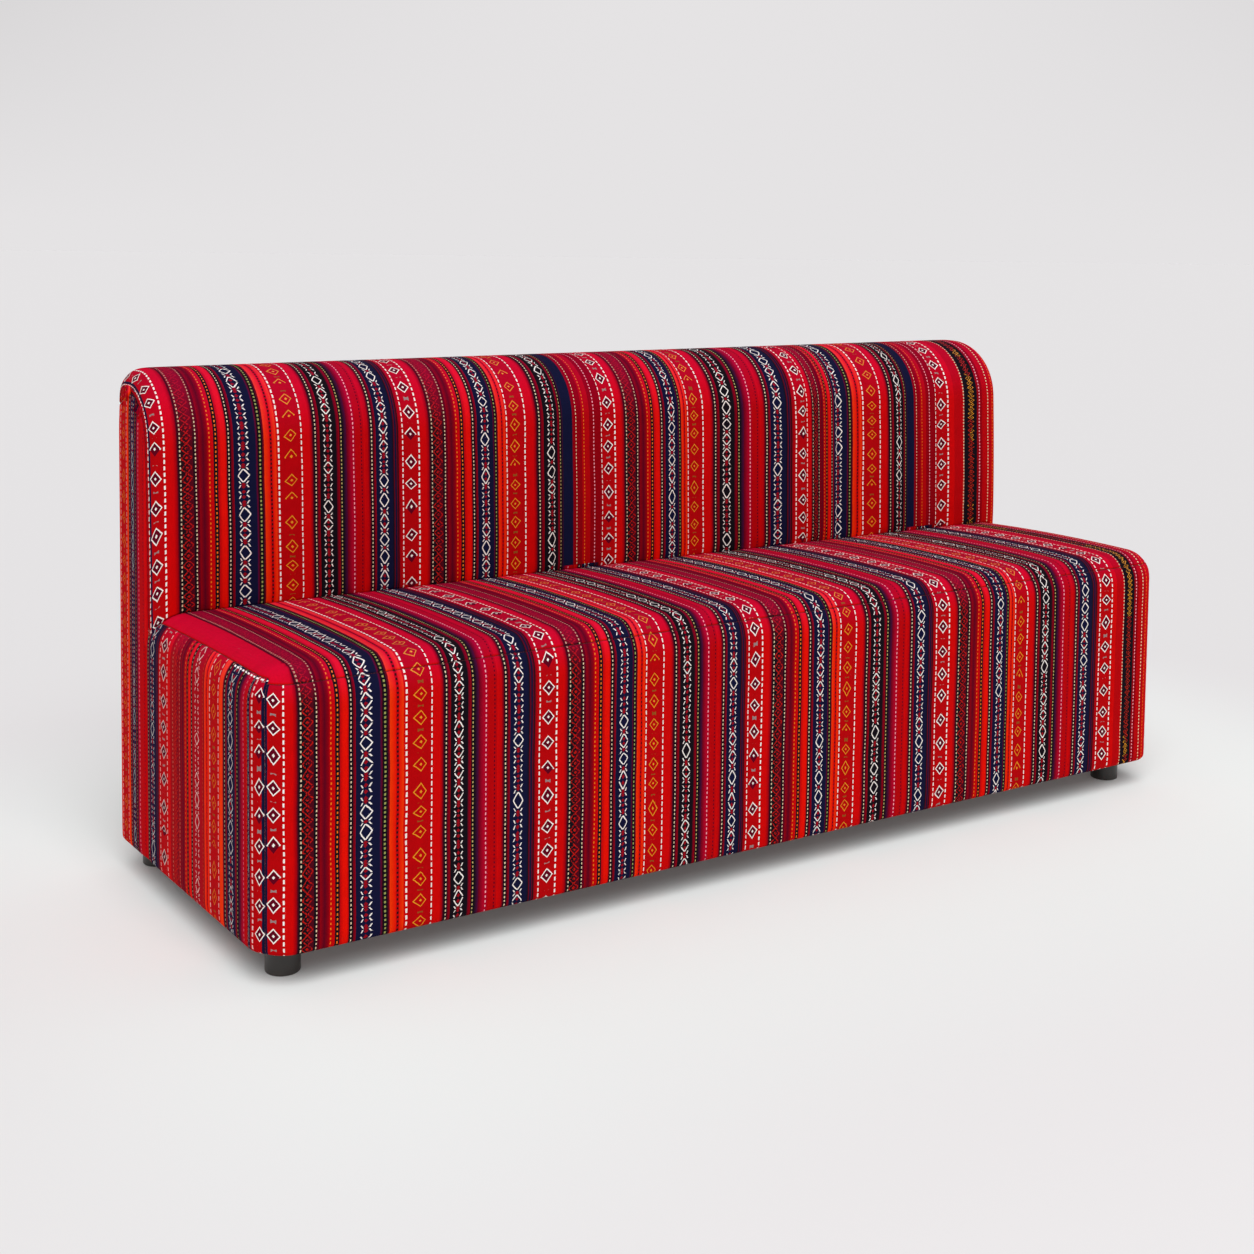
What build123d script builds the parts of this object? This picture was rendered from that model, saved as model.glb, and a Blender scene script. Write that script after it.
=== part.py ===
from build123d import *
from math import sqrt
import os

# A low armless floor sofa: a padded seat box and a padded backrest, bolted together on four
# round feet. +X runs along the length, +Y to the back, +Z up. The origin is on the floor
# under the middle of the whole sofa. All sizes are in millimetres.

# Overall form, as it is seen from outside
LENGTH = 1800.0
SEAT_DEPTH = 420.0  # seat front to the backrest's face
BACK_THICKNESS = 190.0  # the backrest's face to its rear
SEAT_HEIGHT = 446.0  # crest of the seat's crown
BACK_HEIGHT = 810.0
FACE_OVERHANG = 45.0  # how far the padded face stands in front of the backrest's frame
BACK_RAKE = 15.0  # how far the face leans back over its height
SEAT_CROWN = 5.0
FACE_CROWN = 4.0

# Roundings of the upholstery
SEAT_CORNER_RADIUS = 56.0
SEAT_TOP_RADIUS = 45.0
BACK_FRONT_RADIUS = 112.0
BACK_REAR_RADIUS = 50.0
BACK_END_RADIUS = 36.0
BOTTOM_RADIUS = 8.0

# Cloth, wadding and foam
COVER = 2.0
DUST_COVER = 1.0
FRONT_PAD = 20.0
SIDE_PAD = 18.0
SEAT_FOAM = 80.0
TOP_FOAM = 32.0
HEM = 34.0  # how far the covers run in under the frame
DUST_MARGIN = 24.0  # the dust cover's edge stays this far inside the outline
SEAM_DROP = 24.0  # the seat's front seam, below the crest
CORNER_SEAM = 17.0  # the seat's corner seam, behind the front
TOP_SEAM = 14.0  # the seam along the seat's ends, in from them
REAR_SEAM_DROP = 58.0  # the rear panel's seam, below the backrest's top
TUCK = 60.0  # how far the backrest's face is drawn on below the seat's top

# Boards and timber
BOARD = 18.0
DECK = 12.0
BENDING_BOARD = 4.0
REAR_BOARD = 6.0
RAIL_WIDTH = 60.0
RAIL_DEPTH = 25.0
TOP_RAIL_WIDTH = 40.0
RIBS = 3
BLOCK = 90.0
BLOCK_HEIGHT = 30.0

# Feet and their fasteners
FOOT_HEIGHT = 46.0
FOOT_DIAMETER = 50.0
FOOT_EDGE_RADIUS = 3.0
FOOT_TOP_CHAMFER = 0.8
FOOT_END_INSET = 60.0
FOOT_FRONT_INSET = 75.0
FOOT_REAR_INSET = 30.0
STUD_DIAMETER = 8.0
STUD_IN_FOOT = 26.0
TEE_FLANGE_DIAMETER = 20.0
TEE_FLANGE = 1.5
TEE_BARREL_DIAMETER = 10.0
TEE_BARREL = 11.0
THREAD_GAP = 0.15

# Bolts between the seat box and the backrest
BOLT_DIAMETER = 8.0
BOLT_HEAD_FLATS = 13.0
BOLT_HEAD = 5.3
NUT = 6.5
NUT_REST = 2.0  # thread that shows past a nut
WASHER_DIAMETER = 24.0
WASHER = 2.0
BOLT_GAP = 0.5
BOLT_COLUMNS = RIBS + 1  # one in the middle of each bay between the ribs
BOLT_RISE = 61.0  # the lower row, above the boards' lower edge
BOLT_DROP = 52.0  # the upper row, below the deck

# Screws that hold the deck
SCREW_DIAMETER = 4.0
SCREW_LENGTH = 40.0
SCREW_HEAD_DIAMETER = 8.0
SCREW_HEAD = 2.6
SCREW_GAP = 0.2
SCREW_END_INSET = 120.0
SCREW_COLUMNS = 5

# Staples that hold the dust cover and the hems under it
STAPLE_CROWN = 10.0
STAPLE_WIDTH = 1.2
STAPLE_WIRE = 0.7
STAPLE_BITE = 4.0
STAPLE_INSET = 5.0  # inside the dust cover's edge
STAPLE_END_INSET = 100.0  # the outer staples of a row, from the ends
STAPLE_COLUMNS = 9
STAPLE_FRONT_INSET = 115.0  # the outer staples at an end, from the front and the join
STAPLE_ROWS = 3

OVERRUN = 60.0  # how far a cutting solid runs past what it cuts

# Planes that several pieces share
DEPTH = SEAT_DEPTH + BACK_THICKNESS
X_END = LENGTH / 2
Y_FRONT = -DEPTH / 2
Y_BACK = DEPTH / 2
Y_FACE = Y_FRONT + SEAT_DEPTH
Y_JOIN = Y_FACE + FACE_OVERHANG
Z_BODY = FOOT_HEIGHT + DUST_COVER
Z_BOARD = Z_BODY + COVER
Z_DECK_TOP = SEAT_HEIGHT - COVER - SEAT_FOAM
Z_DECK = Z_DECK_TOP - DECK
X_BOARD = X_END - COVER - SIDE_PAD
X_INNER = X_BOARD - BOARD
Y_BOARD = Y_FRONT + COVER + FRONT_PAD
Y_INNER = Y_BOARD + BOARD
Y_REAR = Y_BACK - COVER - REAR_BOARD
BAY = LENGTH / (RIBS + 1)
CROWN_SPAN = SEAT_DEPTH / 2
CROWN_RADIUS = (CROWN_SPAN**2 + SEAT_CROWN**2) / (2 * SEAT_CROWN)
CROWN_Y = Y_FRONT + CROWN_SPAN


def crown_z(y):
    """Height of the seat's crowned top at a distance y."""
    return SEAT_HEIGHT - CROWN_RADIUS + sqrt(CROWN_RADIUS**2 - (y - CROWN_Y) ** 2)


Z_UNDER = crown_z(Y_JOIN)  # where the backrest's padding ends on the seat
Z_ROUND = SEAT_HEIGHT - SEAT_CROWN - SEAT_TOP_RADIUS  # where the seat's top edge starts to round


def block(x0, x1, y0, y1, z0, z1):
    """A box from its six planes."""
    centre = Pos((x0 + x1) / 2, (y0 + y1) / 2, (z0 + z1) / 2)
    return centre * Box(x1 - x0, y1 - y0, z1 - z0)


def prism(outline, x0, x1):
    """A closed outline of the Y-Z plane, drawn out from x0 to x1."""
    return extrude(Plane.YZ.offset(x0) * make_face(outline), amount=x1 - x0)


def seat_form(inset, tail):
    """The seat's rounded body, drawn in by inset and cut flat at Y_JOIN + tail."""
    y0 = Y_FRONT + inset
    y1 = Y_JOIN + SEAT_CORNER_RADIUS + OVERRUN
    low = Z_BODY + inset
    outline = Polyline((y1, crown_z(y1) - inset), (y1, low), (y0, low), (y0, crown_z(y0) - inset))
    crown = ThreePointArc(
        (y0, crown_z(y0) - inset), (CROWN_Y, SEAT_HEIGHT - inset), (y1, crown_z(y1) - inset)
    )
    body = prism(outline + crown, -X_END + inset, X_END - inset)
    body = fillet(body.edges().filter_by(Axis.Z), SEAT_CORNER_RADIUS - inset)
    body = fillet(body.faces().sort_by(Axis.Z)[-1].edges(), SEAT_TOP_RADIUS - inset)
    body = fillet(body.faces().sort_by(Axis.Z)[0].edges(), BOTTOM_RADIUS - inset)
    return body & block(-X_END, X_END, Y_FRONT, Y_JOIN + tail, Z_BODY, SEAT_HEIGHT)


def back_form(inset, tail):
    """The backrest's rounded body, drawn in by inset, open by tail towards the seat."""
    low = SEAT_HEIGHT - TUCK
    high = BACK_HEIGHT - inset
    face = Y_FACE + inset
    lean = face + BACK_RAKE
    rear = Y_BACK - inset
    half = X_END - inset
    middle = ((face + lean) / 2 - FACE_CROWN, (low + high) / 2)
    edge = ThreePointArc((face, low), middle, (lean, high))
    rest = Polyline((lean, high), (rear, high), (rear, low), (face, low))
    upper = prism(edge + rest, -half, half)
    ridges = upper.edges().filter_by(Axis.X).group_by(Axis.Z)[-1].sort_by(Axis.Y)
    upper = fillet(ridges[-1], BACK_REAR_RADIUS - inset)
    ridges = upper.edges().filter_by(Axis.X).group_by(Axis.Z)[-1].sort_by(Axis.Y)
    upper = fillet(ridges[0], BACK_FRONT_RADIUS - inset)
    ends = [
        line
        for side in (upper.faces().sort_by(Axis.X)[0], upper.faces().sort_by(Axis.X)[-1])
        for line in side.edges()
        if line.center().Z > low + TUCK / 2
    ]
    upper = fillet(ends, BACK_END_RADIUS - inset)
    upper = upper & block(-X_END, X_END, Y_FACE - FACE_CROWN, Y_BACK, Z_ROUND - tail, BACK_HEIGHT)
    lower = block(-half, half, Y_JOIN - BACK_END_RADIUS - OVERRUN, rear, Z_BODY + inset, SEAT_HEIGHT)
    lower = fillet(lower.edges().filter_by(Axis.Z), BACK_END_RADIUS - inset)
    lower = fillet(lower.faces().sort_by(Axis.Z)[0].edges(), BOTTOM_RADIUS - inset)
    lower = lower & block(-X_END, X_END, Y_JOIN - tail, Y_BACK, Z_BODY, Z_UNDER)
    return upper + lower


def rod(diameter, x, y, z0, z1):
    """An upright round bar."""
    return Pos(x, y, (z0 + z1) / 2) * Cylinder(diameter / 2, z1 - z0)


def cross_rod(diameter, x, z, y0, y1):
    """A round bar along Y."""
    return Pos(x, (y0 + y1) / 2, z) * Rot(90, 0, 0) * Cylinder(diameter / 2, y1 - y0)


def cross_hexagon(flats, x, z, y0, y1):
    """A hexagonal bar along Y."""
    outline = RegularPolygon(flats / 2, 6, major_radius=False)
    return extrude(Plane(origin=(x, y0, z), z_dir=(0, 1, 0)) * outline, amount=y1 - y0)


nodes = {}


def add(name, *solids):
    nodes[name] = Compound(children=list(solids)) if len(solids) > 1 else solids[0]


# The padded bodies, without and with room for their cloth
seat_skin = seat_form(0, 0)
seat_soft = seat_form(COVER, 0)
back_skin = back_form(0, 0) - seat_skin
back_soft = back_form(COVER, 0) - seat_skin

# Places of the feet, and the blocks that carry them
foot_places = {
    "front_left": (-X_END + FOOT_END_INSET, Y_FRONT + FOOT_FRONT_INSET),
    "front_right": (X_END - FOOT_END_INSET, Y_FRONT + FOOT_FRONT_INSET),
    "back_left": (-X_END + FOOT_END_INSET, Y_BACK - FOOT_REAR_INSET),
    "back_right": (X_END - FOOT_END_INSET, Y_BACK - FOOT_REAR_INSET),
}
Z_STUD = FOOT_HEIGHT - STUD_IN_FOOT
Z_BLOCK_TOP = Z_BOARD + BLOCK_HEIGHT
Z_STUD_TOP = Z_BLOCK_TOP - TEE_FLANGE / 2
stud_room = [
    rod(STUD_DIAMETER + 2 * THREAD_GAP, x, y, Z_STUD, Z_STUD_TOP) for x, y in foot_places.values()
]
barrel_room = [
    rod(TEE_BARREL_DIAMETER, x, y, Z_BLOCK_TOP - TEE_BARREL, Z_BLOCK_TOP)
    for x, y in foot_places.values()
]

# Places of the bolts between the seat box and the backrest
bolt_places = [
    ((column - (BOLT_COLUMNS - 1) / 2) * BAY, z)
    for column in range(BOLT_COLUMNS)
    for z in (Z_BOARD + BOLT_RISE, Z_DECK - BOLT_DROP)
]
bolt_room = [
    cross_rod(BOLT_DIAMETER + BOLT_GAP, x, z, Y_JOIN - BOARD - OVERRUN, Y_JOIN + BOARD + OVERRUN)
    for x, z in bolt_places
]

# Places of the deck screws, over the front and the back board
SCREW_PITCH = (LENGTH - 2 * SCREW_END_INSET) / (SCREW_COLUMNS - 1)
screw_places = [
    (-X_END + SCREW_END_INSET + column * SCREW_PITCH, y)
    for column in range(SCREW_COLUMNS)
    for y in (Y_BOARD + BOARD / 2, Y_JOIN - BOARD / 2)
]


def screw(x, y, gap):
    """A countersunk screw with its head flush with the deck, or the hole for it."""
    shank = rod(SCREW_DIAMETER + gap, x, y, Z_DECK_TOP - SCREW_LENGTH, Z_DECK_TOP)
    head = Pos(x, y, Z_DECK_TOP - SCREW_HEAD / 2) * Cone(
        (SCREW_DIAMETER + gap) / 2, (SCREW_HEAD_DIAMETER + gap) / 2, SCREW_HEAD
    )
    return shank + head


screw_room = [screw(x, y, SCREW_GAP) for x, y in screw_places]

# Places of the staples: rows along the front and the rear, and down both ends
STAPLE_LINE = DUST_MARGIN + STAPLE_INSET
STAPLE_PITCH = (LENGTH - 2 * STAPLE_END_INSET) / (STAPLE_COLUMNS - 1)
STAPLE_END_PITCH = (Y_JOIN - Y_FRONT - 2 * STAPLE_FRONT_INSET) / (STAPLE_ROWS - 1)
staple_places = [
    Pos(-X_END + STAPLE_END_INSET + column * STAPLE_PITCH, y, FOOT_HEIGHT)
    for column in range(STAPLE_COLUMNS)
    for y in (Y_FRONT + STAPLE_LINE, Y_BACK - STAPLE_LINE)
] + [
    Pos(x, Y_FRONT + STAPLE_FRONT_INSET + row * STAPLE_END_PITCH, FOOT_HEIGHT) * Rot(0, 0, 90)
    for row in range(STAPLE_ROWS)
    for x in (-X_END + STAPLE_LINE, X_END - STAPLE_LINE)
]


def staple_legs(place):
    """The two legs of a staple, from the dust cover up into the frame."""
    reach = (STAPLE_CROWN - STAPLE_WIRE) / 2
    height = Z_BOARD + STAPLE_BITE - FOOT_HEIGHT
    return [
        place * Pos(x, 0, height / 2) * Box(STAPLE_WIRE, STAPLE_WIDTH, height)
        for x in (-reach, reach)
    ]


def staple(place):
    """A whole staple: its crown under the dust cover, and its legs."""
    crown = place * Pos(0, 0, -STAPLE_WIRE / 2) * Box(STAPLE_CROWN, STAPLE_WIDTH, STAPLE_WIRE)
    return crown + staple_legs(place)


staple_room = [leg for place in staple_places for leg in staple_legs(place)]

# The seat box: boards on edge, ribs between them, a deck on top
add(
    "seat_front_board",
    (block(-X_BOARD, X_BOARD, Y_BOARD, Y_INNER, Z_BOARD, Z_DECK) & seat_soft)
    - screw_room
    - staple_room,
)
add(
    "seat_back_board",
    block(-X_BOARD, X_BOARD, Y_JOIN - BOARD, Y_JOIN, Z_BOARD, Z_DECK) - screw_room - bolt_room,
)
add(
    "seat_left_board",
    (block(-X_BOARD, -X_INNER, Y_INNER, Y_JOIN - BOARD, Z_BOARD, Z_DECK) & seat_soft)
    - staple_room,
)
add(
    "seat_right_board",
    (block(X_INNER, X_BOARD, Y_INNER, Y_JOIN - BOARD, Z_BOARD, Z_DECK) & seat_soft)
    - staple_room,
)
rib_places = [(rib - (RIBS - 1) / 2) * BAY for rib in range(RIBS)]
for number, x in enumerate(rib_places, 1):
    add(
        f"seat_rib_{number}",
        block(x - BOARD / 2, x + BOARD / 2, Y_INNER, Y_JOIN - BOARD, Z_BOARD, Z_DECK),
    )
add(
    "seat_deck",
    block(-X_BOARD, X_BOARD, Y_BOARD, Y_JOIN, Z_DECK, Z_DECK_TOP) - screw_room,
)
add("deck_screws", *[screw(x, y, 0) for x, y in screw_places])

# The backrest's frame: a board against the seat box, ribs cut to the section, a bent
# board over their front and top, rails, and a thin board behind
Z_LOWER_TOP = Z_UNDER


def frame_prism(draw_in, foot, rear, x0, x1):
    """The frame's section from x0 to x1, with a round upper front edge.

    draw_in is how far it lies under the bent board, foot how far its lower part stands
    back behind the lower board."""
    high = BACK_HEIGHT - COVER - TOP_FOAM - draw_in
    front = Y_JOIN + draw_in
    outline = Polyline(
        (front, Z_LOWER_TOP),
        (front + BACK_RAKE, high),
        (rear, high),
        (rear, Z_LOWER_TOP),
        (front, Z_LOWER_TOP),
    )
    upper = prism(outline, x0, x1)
    ridges = upper.edges().filter_by(Axis.X).group_by(Axis.Z)[-1].sort_by(Axis.Y)
    upper = fillet(ridges[0], BACK_FRONT_RADIUS - FACE_OVERHANG - draw_in)
    return upper + block(x0, x1, Y_JOIN + foot, rear, Z_BOARD, Z_LOWER_TOP)


Z_RAIL_TOP = BACK_HEIGHT - COVER - TOP_FOAM - BENDING_BOARD
top_rail = block(
    -X_INNER, X_INNER, Y_REAR - TOP_RAIL_WIDTH, Y_REAR, Z_RAIL_TOP - RAIL_DEPTH, Z_RAIL_TOP
)
foot_rail = block(
    -X_INNER + BLOCK, X_INNER - BLOCK, Y_REAR - RAIL_DEPTH, Y_REAR, Z_BOARD, Z_BOARD + RAIL_WIDTH
)
middle_rail = block(
    -X_INNER,
    X_INNER,
    Y_REAR - RAIL_DEPTH,
    Y_REAR,
    SEAT_HEIGHT - RAIL_WIDTH / 2,
    SEAT_HEIGHT + RAIL_WIDTH / 2,
)
add(
    "back_lower_board",
    block(-X_INNER, X_INNER, Y_JOIN, Y_JOIN + BOARD, Z_BOARD, Z_LOWER_TOP) - bolt_room,
)
add("back_left_side", frame_prism(BENDING_BOARD, 0, Y_REAR, -X_BOARD, -X_INNER) & back_soft)
add("back_right_side", frame_prism(BENDING_BOARD, 0, Y_REAR, X_INNER, X_BOARD) & back_soft)
for number, x in enumerate(rib_places, 1):
    rib = frame_prism(BENDING_BOARD, BOARD, Y_REAR, x - BOARD / 2, x + BOARD / 2)
    add(f"back_rib_{number}", rib - top_rail - middle_rail - foot_rail)
add("back_top_rail", top_rail)
add("back_middle_rail", middle_rail)
add("back_foot_rail", foot_rail - staple_room)
frame_outer = frame_prism(0, 0, Y_REAR, -X_BOARD, X_BOARD)
above_seat = block(-X_END, X_END, Y_FACE, Y_BACK, Z_LOWER_TOP, BACK_HEIGHT)
inside_bent_board = frame_prism(
    BENDING_BOARD, 0, Y_REAR + OVERRUN, -X_BOARD - OVERRUN, X_BOARD + OVERRUN
)
add("back_bent_board", ((frame_outer & above_seat) - inside_bent_board) & back_soft)
frame_all = frame_prism(0, 0, Y_BACK + OVERRUN, -X_END - OVERRUN, X_END + OVERRUN)
rear_zone = block(-X_BOARD, X_BOARD, Y_REAR, Y_BACK, Z_BOARD, BACK_HEIGHT)
add("back_rear_board", back_soft & frame_all & rear_zone)

# Foam and wadding between the frame and the cloth
around_deck = block(-X_END, X_END, Y_FRONT, Y_JOIN, Z_DECK_TOP, SEAT_HEIGHT)
add("seat_foam", seat_soft & around_deck)
add(
    "seat_front_pad",
    seat_soft & block(-X_END, X_END, Y_FRONT, Y_BOARD, Z_BODY, Z_DECK_TOP),
)
add(
    "seat_left_pad",
    seat_soft & block(-X_END, -X_BOARD, Y_BOARD, Y_JOIN, Z_BODY, Z_DECK_TOP),
)
add(
    "seat_right_pad",
    seat_soft & block(X_BOARD, X_END, Y_BOARD, Y_JOIN, Z_BODY, Z_DECK_TOP),
)
add("back_foam", back_soft - frame_all)
add(
    "back_left_pad",
    back_soft & frame_all & block(-X_END, -X_BOARD, Y_JOIN, Y_BACK, Z_BODY, BACK_HEIGHT),
)
add(
    "back_right_pad",
    back_soft & frame_all & block(X_BOARD, X_END, Y_JOIN, Y_BACK, Z_BODY, BACK_HEIGHT),
)

# The seat's covers: one skin, open underneath inside its hem, parted at the seams
under_opening = block(
    -X_END + HEM, X_END - HEM, Y_FRONT + HEM, Y_BACK - HEM, Z_BODY, Z_BOARD + BOTTOM_RADIUS
)
seat_cloth = seat_skin - seat_form(COVER, OVERRUN) - under_opening
Y_CORNER = Y_FRONT + CORNER_SEAM
seat_ends = {
    "left": block(-X_END, -X_END + SEAT_TOP_RADIUS, Y_CORNER, Y_JOIN, Z_BODY, Z_ROUND)
    + block(-X_END, -X_END + TOP_SEAM, Y_CORNER, Y_JOIN, Z_ROUND, SEAT_HEIGHT),
    "right": block(X_END - SEAT_TOP_RADIUS, X_END, Y_CORNER, Y_JOIN, Z_BODY, Z_ROUND)
    + block(X_END - TOP_SEAM, X_END, Y_CORNER, Y_JOIN, Z_ROUND, SEAT_HEIGHT),
}
seat_front_zone = block(
    -X_END, X_END, Y_FRONT, Y_CORNER, Z_BODY, SEAT_HEIGHT - SEAM_DROP
) + block(
    -X_END + SEAT_TOP_RADIUS,
    X_END - SEAT_TOP_RADIUS,
    Y_FRONT,
    Y_FRONT + HEM,
    Z_BODY,
    Z_BODY + BOTTOM_RADIUS,
)
for side, zone in seat_ends.items():
    add(f"seat_{side}_cover", (seat_cloth & zone) - staple_room)
add("seat_front_cover", (seat_cloth & seat_front_zone) - staple_room)
add("seat_top_cover", seat_cloth - seat_front_zone - seat_ends["left"] - seat_ends["right"])

# The backrest's covers, parted in the same way
back_cloth = back_skin - back_form(COVER, OVERRUN) - under_opening
back_ends = {
    "left": block(-X_END, -X_END + BACK_END_RADIUS, Y_JOIN, Y_BACK, Z_BODY, BACK_HEIGHT),
    "right": block(X_END - BACK_END_RADIUS, X_END, Y_JOIN, Y_BACK, Z_BODY, BACK_HEIGHT),
}
rear_panel_zone = block(
    -X_END + BACK_END_RADIUS,
    X_END - BACK_END_RADIUS,
    Y_BACK - BACK_REAR_RADIUS,
    Y_BACK,
    Z_BODY,
    BACK_HEIGHT - REAR_SEAM_DROP,
)
for side, zone in back_ends.items():
    add(f"back_{side}_cover", (back_cloth & zone) - stud_room)
add("back_rear_cover", (back_cloth & rear_panel_zone) - stud_room - staple_room)
add("back_front_cover", back_cloth - rear_panel_zone - back_ends["left"] - back_ends["right"])
add(
    "dust_cover",
    block(
        -X_END + DUST_MARGIN,
        X_END - DUST_MARGIN,
        Y_FRONT + DUST_MARGIN,
        Y_BACK - DUST_MARGIN,
        FOOT_HEIGHT,
        Z_BODY,
    )
    - stud_room
    - staple_room,
)
add("hem_staples", *[staple(place) for place in staple_places])

# Feet: a moulded cylinder on a stud that turns into a tee nut in a block of timber
for place, (x, y) in foot_places.items():
    foot = rod(FOOT_DIAMETER, x, y, 0, FOOT_HEIGHT)
    rims = foot.edges().filter_by(GeomType.CIRCLE).sort_by(Axis.Z)
    foot = fillet(rims[0], FOOT_EDGE_RADIUS)
    foot = chamfer(foot.edges().filter_by(GeomType.CIRCLE).sort_by(Axis.Z)[-1], FOOT_TOP_CHAMFER)
    add(f"foot_{place}", foot - stud_room)
    side = -1 if x < 0 else 1
    x0, x1 = sorted((side * X_INNER, side * (X_INNER - BLOCK)))
    if y < Y_JOIN:
        y0, y1 = Y_INNER, Y_INNER + BLOCK
        low = Z_BODY
    else:
        y0, y1 = Y_REAR - BLOCK, Y_REAR
        low = Z_BOARD
    add(
        f"foot_block_{place}",
        block(x0, x1, y0, y1, low, Z_BLOCK_TOP) - stud_room - barrel_room - staple_room,
    )
add(
    "foot_studs",
    *[rod(STUD_DIAMETER, x, y, Z_STUD, Z_STUD_TOP) for x, y in foot_places.values()],
)
add(
    "foot_tee_nuts",
    *[
        rod(TEE_FLANGE_DIAMETER, x, y, Z_BLOCK_TOP, Z_BLOCK_TOP + TEE_FLANGE)
        + barrel
        - stud_room
        for (x, y), barrel in zip(foot_places.values(), barrel_room)
    ],
)

# Bolts from the seat box into the backrest, each with two washers and a nut
Y_HEAD = Y_JOIN - BOARD - WASHER
Y_NUT = Y_JOIN + BOARD + WASHER
add(
    "frame_bolts",
    *[
        cross_rod(BOLT_DIAMETER, x, z, Y_HEAD, Y_NUT + NUT + NUT_REST)
        + cross_hexagon(BOLT_HEAD_FLATS, x, z, Y_HEAD - BOLT_HEAD, Y_HEAD)
        for x, z in bolt_places
    ],
)
add(
    "frame_washers",
    *[
        cross_rod(WASHER_DIAMETER, x, z, y, y + WASHER) - bolt_room
        for x, z in bolt_places
        for y in (Y_HEAD, Y_NUT - WASHER)
    ],
)
nut_room = [
    cross_rod(BOLT_DIAMETER + 2 * THREAD_GAP, x, z, Y_NUT - OVERRUN, Y_NUT + OVERRUN)
    for x, z in bolt_places
]
add(
    "frame_nuts",
    *[cross_hexagon(BOLT_HEAD_FLATS, x, z, Y_NUT, Y_NUT + NUT) - nut_room for x, z in bolt_places],
)

os.makedirs("parts", exist_ok=True)
for name, shape in nodes.items():
    shape.label = name
    export_step(shape, f"parts/{name}.step")
print(len(nodes), "nodes")
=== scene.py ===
# %% [markdown]
# # A majlis floor sofa in striped handwoven cloth
# The real sofa is a plywood seat box and a bent-ply backrest, padded with foam and covered with
# a tightly drawn traditional stripe. The covers are sewn from panels, and the panels, their
# seams and the woven pattern are what is made here, in metres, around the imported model.

import math

import bmesh
import bpy
import numpy as np
from mathutils import Matrix, Vector
from mathutils.kdtree import KDTree


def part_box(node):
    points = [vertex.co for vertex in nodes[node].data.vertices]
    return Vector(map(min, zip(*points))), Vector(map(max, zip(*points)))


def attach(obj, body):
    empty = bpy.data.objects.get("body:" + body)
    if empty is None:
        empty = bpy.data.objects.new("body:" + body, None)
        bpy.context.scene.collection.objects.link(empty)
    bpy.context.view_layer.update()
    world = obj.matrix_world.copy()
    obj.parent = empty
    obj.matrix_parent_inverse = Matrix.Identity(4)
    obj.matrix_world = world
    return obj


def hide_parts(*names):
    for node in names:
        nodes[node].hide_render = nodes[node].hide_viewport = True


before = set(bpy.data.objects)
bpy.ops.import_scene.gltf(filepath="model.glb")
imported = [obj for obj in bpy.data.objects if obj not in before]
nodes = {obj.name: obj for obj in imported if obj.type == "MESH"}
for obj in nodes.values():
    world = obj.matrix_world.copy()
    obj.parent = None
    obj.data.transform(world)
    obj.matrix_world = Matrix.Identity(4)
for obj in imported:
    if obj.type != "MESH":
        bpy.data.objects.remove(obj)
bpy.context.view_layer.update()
scene = bpy.context.scene

# %% [markdown]
# ## Sizes
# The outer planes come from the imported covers, so the padding always fits them. The roundings
# are those of the upholstery: a seat edge over foam, and a backrest whose front rolls over.

# %% Planes and roundings of the padding
MM = 0.001
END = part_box("seat_right_cover")[1].x
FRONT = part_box("seat_front_cover")[0].y
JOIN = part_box("seat_left_cover")[1].y
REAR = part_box("back_rear_cover")[1].y
FACE = JOIN - 45 * MM
SEAT_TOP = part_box("seat_top_cover")[1].z
BACK_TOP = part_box("back_front_cover")[1].z
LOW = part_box("seat_front_cover")[0].z
SEAT_CROWN = 5 * MM
SEAT_CORNER = 56 * MM
SEAT_EDGE = 45 * MM
BACK_ROLL = 112 * MM
BACK_REAR_EDGE = 50 * MM
BACK_END_EDGE = 36 * MM
HEM_EDGE = 8 * MM
HEM = 34 * MM
ROUND = SEAT_TOP - SEAT_CROWN - SEAT_EDGE
FACE_RAKE = 15 * MM
FACE_CROWN = 4 * MM
FACE_LOW = SEAT_TOP - 60 * MM
SEAM_HEIGHT = SEAT_TOP - 24 * MM
END_SEAM = 14 * MM
REAR_SEAM = BACK_TOP - 58 * MM
GRID = 12 * MM
CORNER_STEPS = 10
SEAM_STEPS = 4
HEM_MIDDLE = 20 * MM
print("seat", round(END, 3), round(FRONT, 3), round(SEAT_TOP, 3), "back", round(BACK_TOP, 3))


# %% Small helpers for runs of even steps and for meshes
def steps(start, stop, pitch=GRID):
    """Even steps from start to stop, both included."""
    return np.linspace(start, stop, max(1, round(abs(stop - start) / pitch)) + 1)


def seat_crown(y):
    """How far the seat's top rises over its edges at y."""
    middle = FRONT + (FACE - FRONT) / 2
    half = (FACE - FRONT) / 2
    return SEAT_CROWN * (1 - ((y - middle) / half) ** 2)


def face_line(z):
    """The backrest's face: it leans back a little and swells in the middle."""
    t = (z - FACE_LOW) / (BACK_TOP - FACE_LOW)
    return FACE + FACE_RAKE * t - 4 * FACE_CROWN * t * (1 - t)


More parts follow.
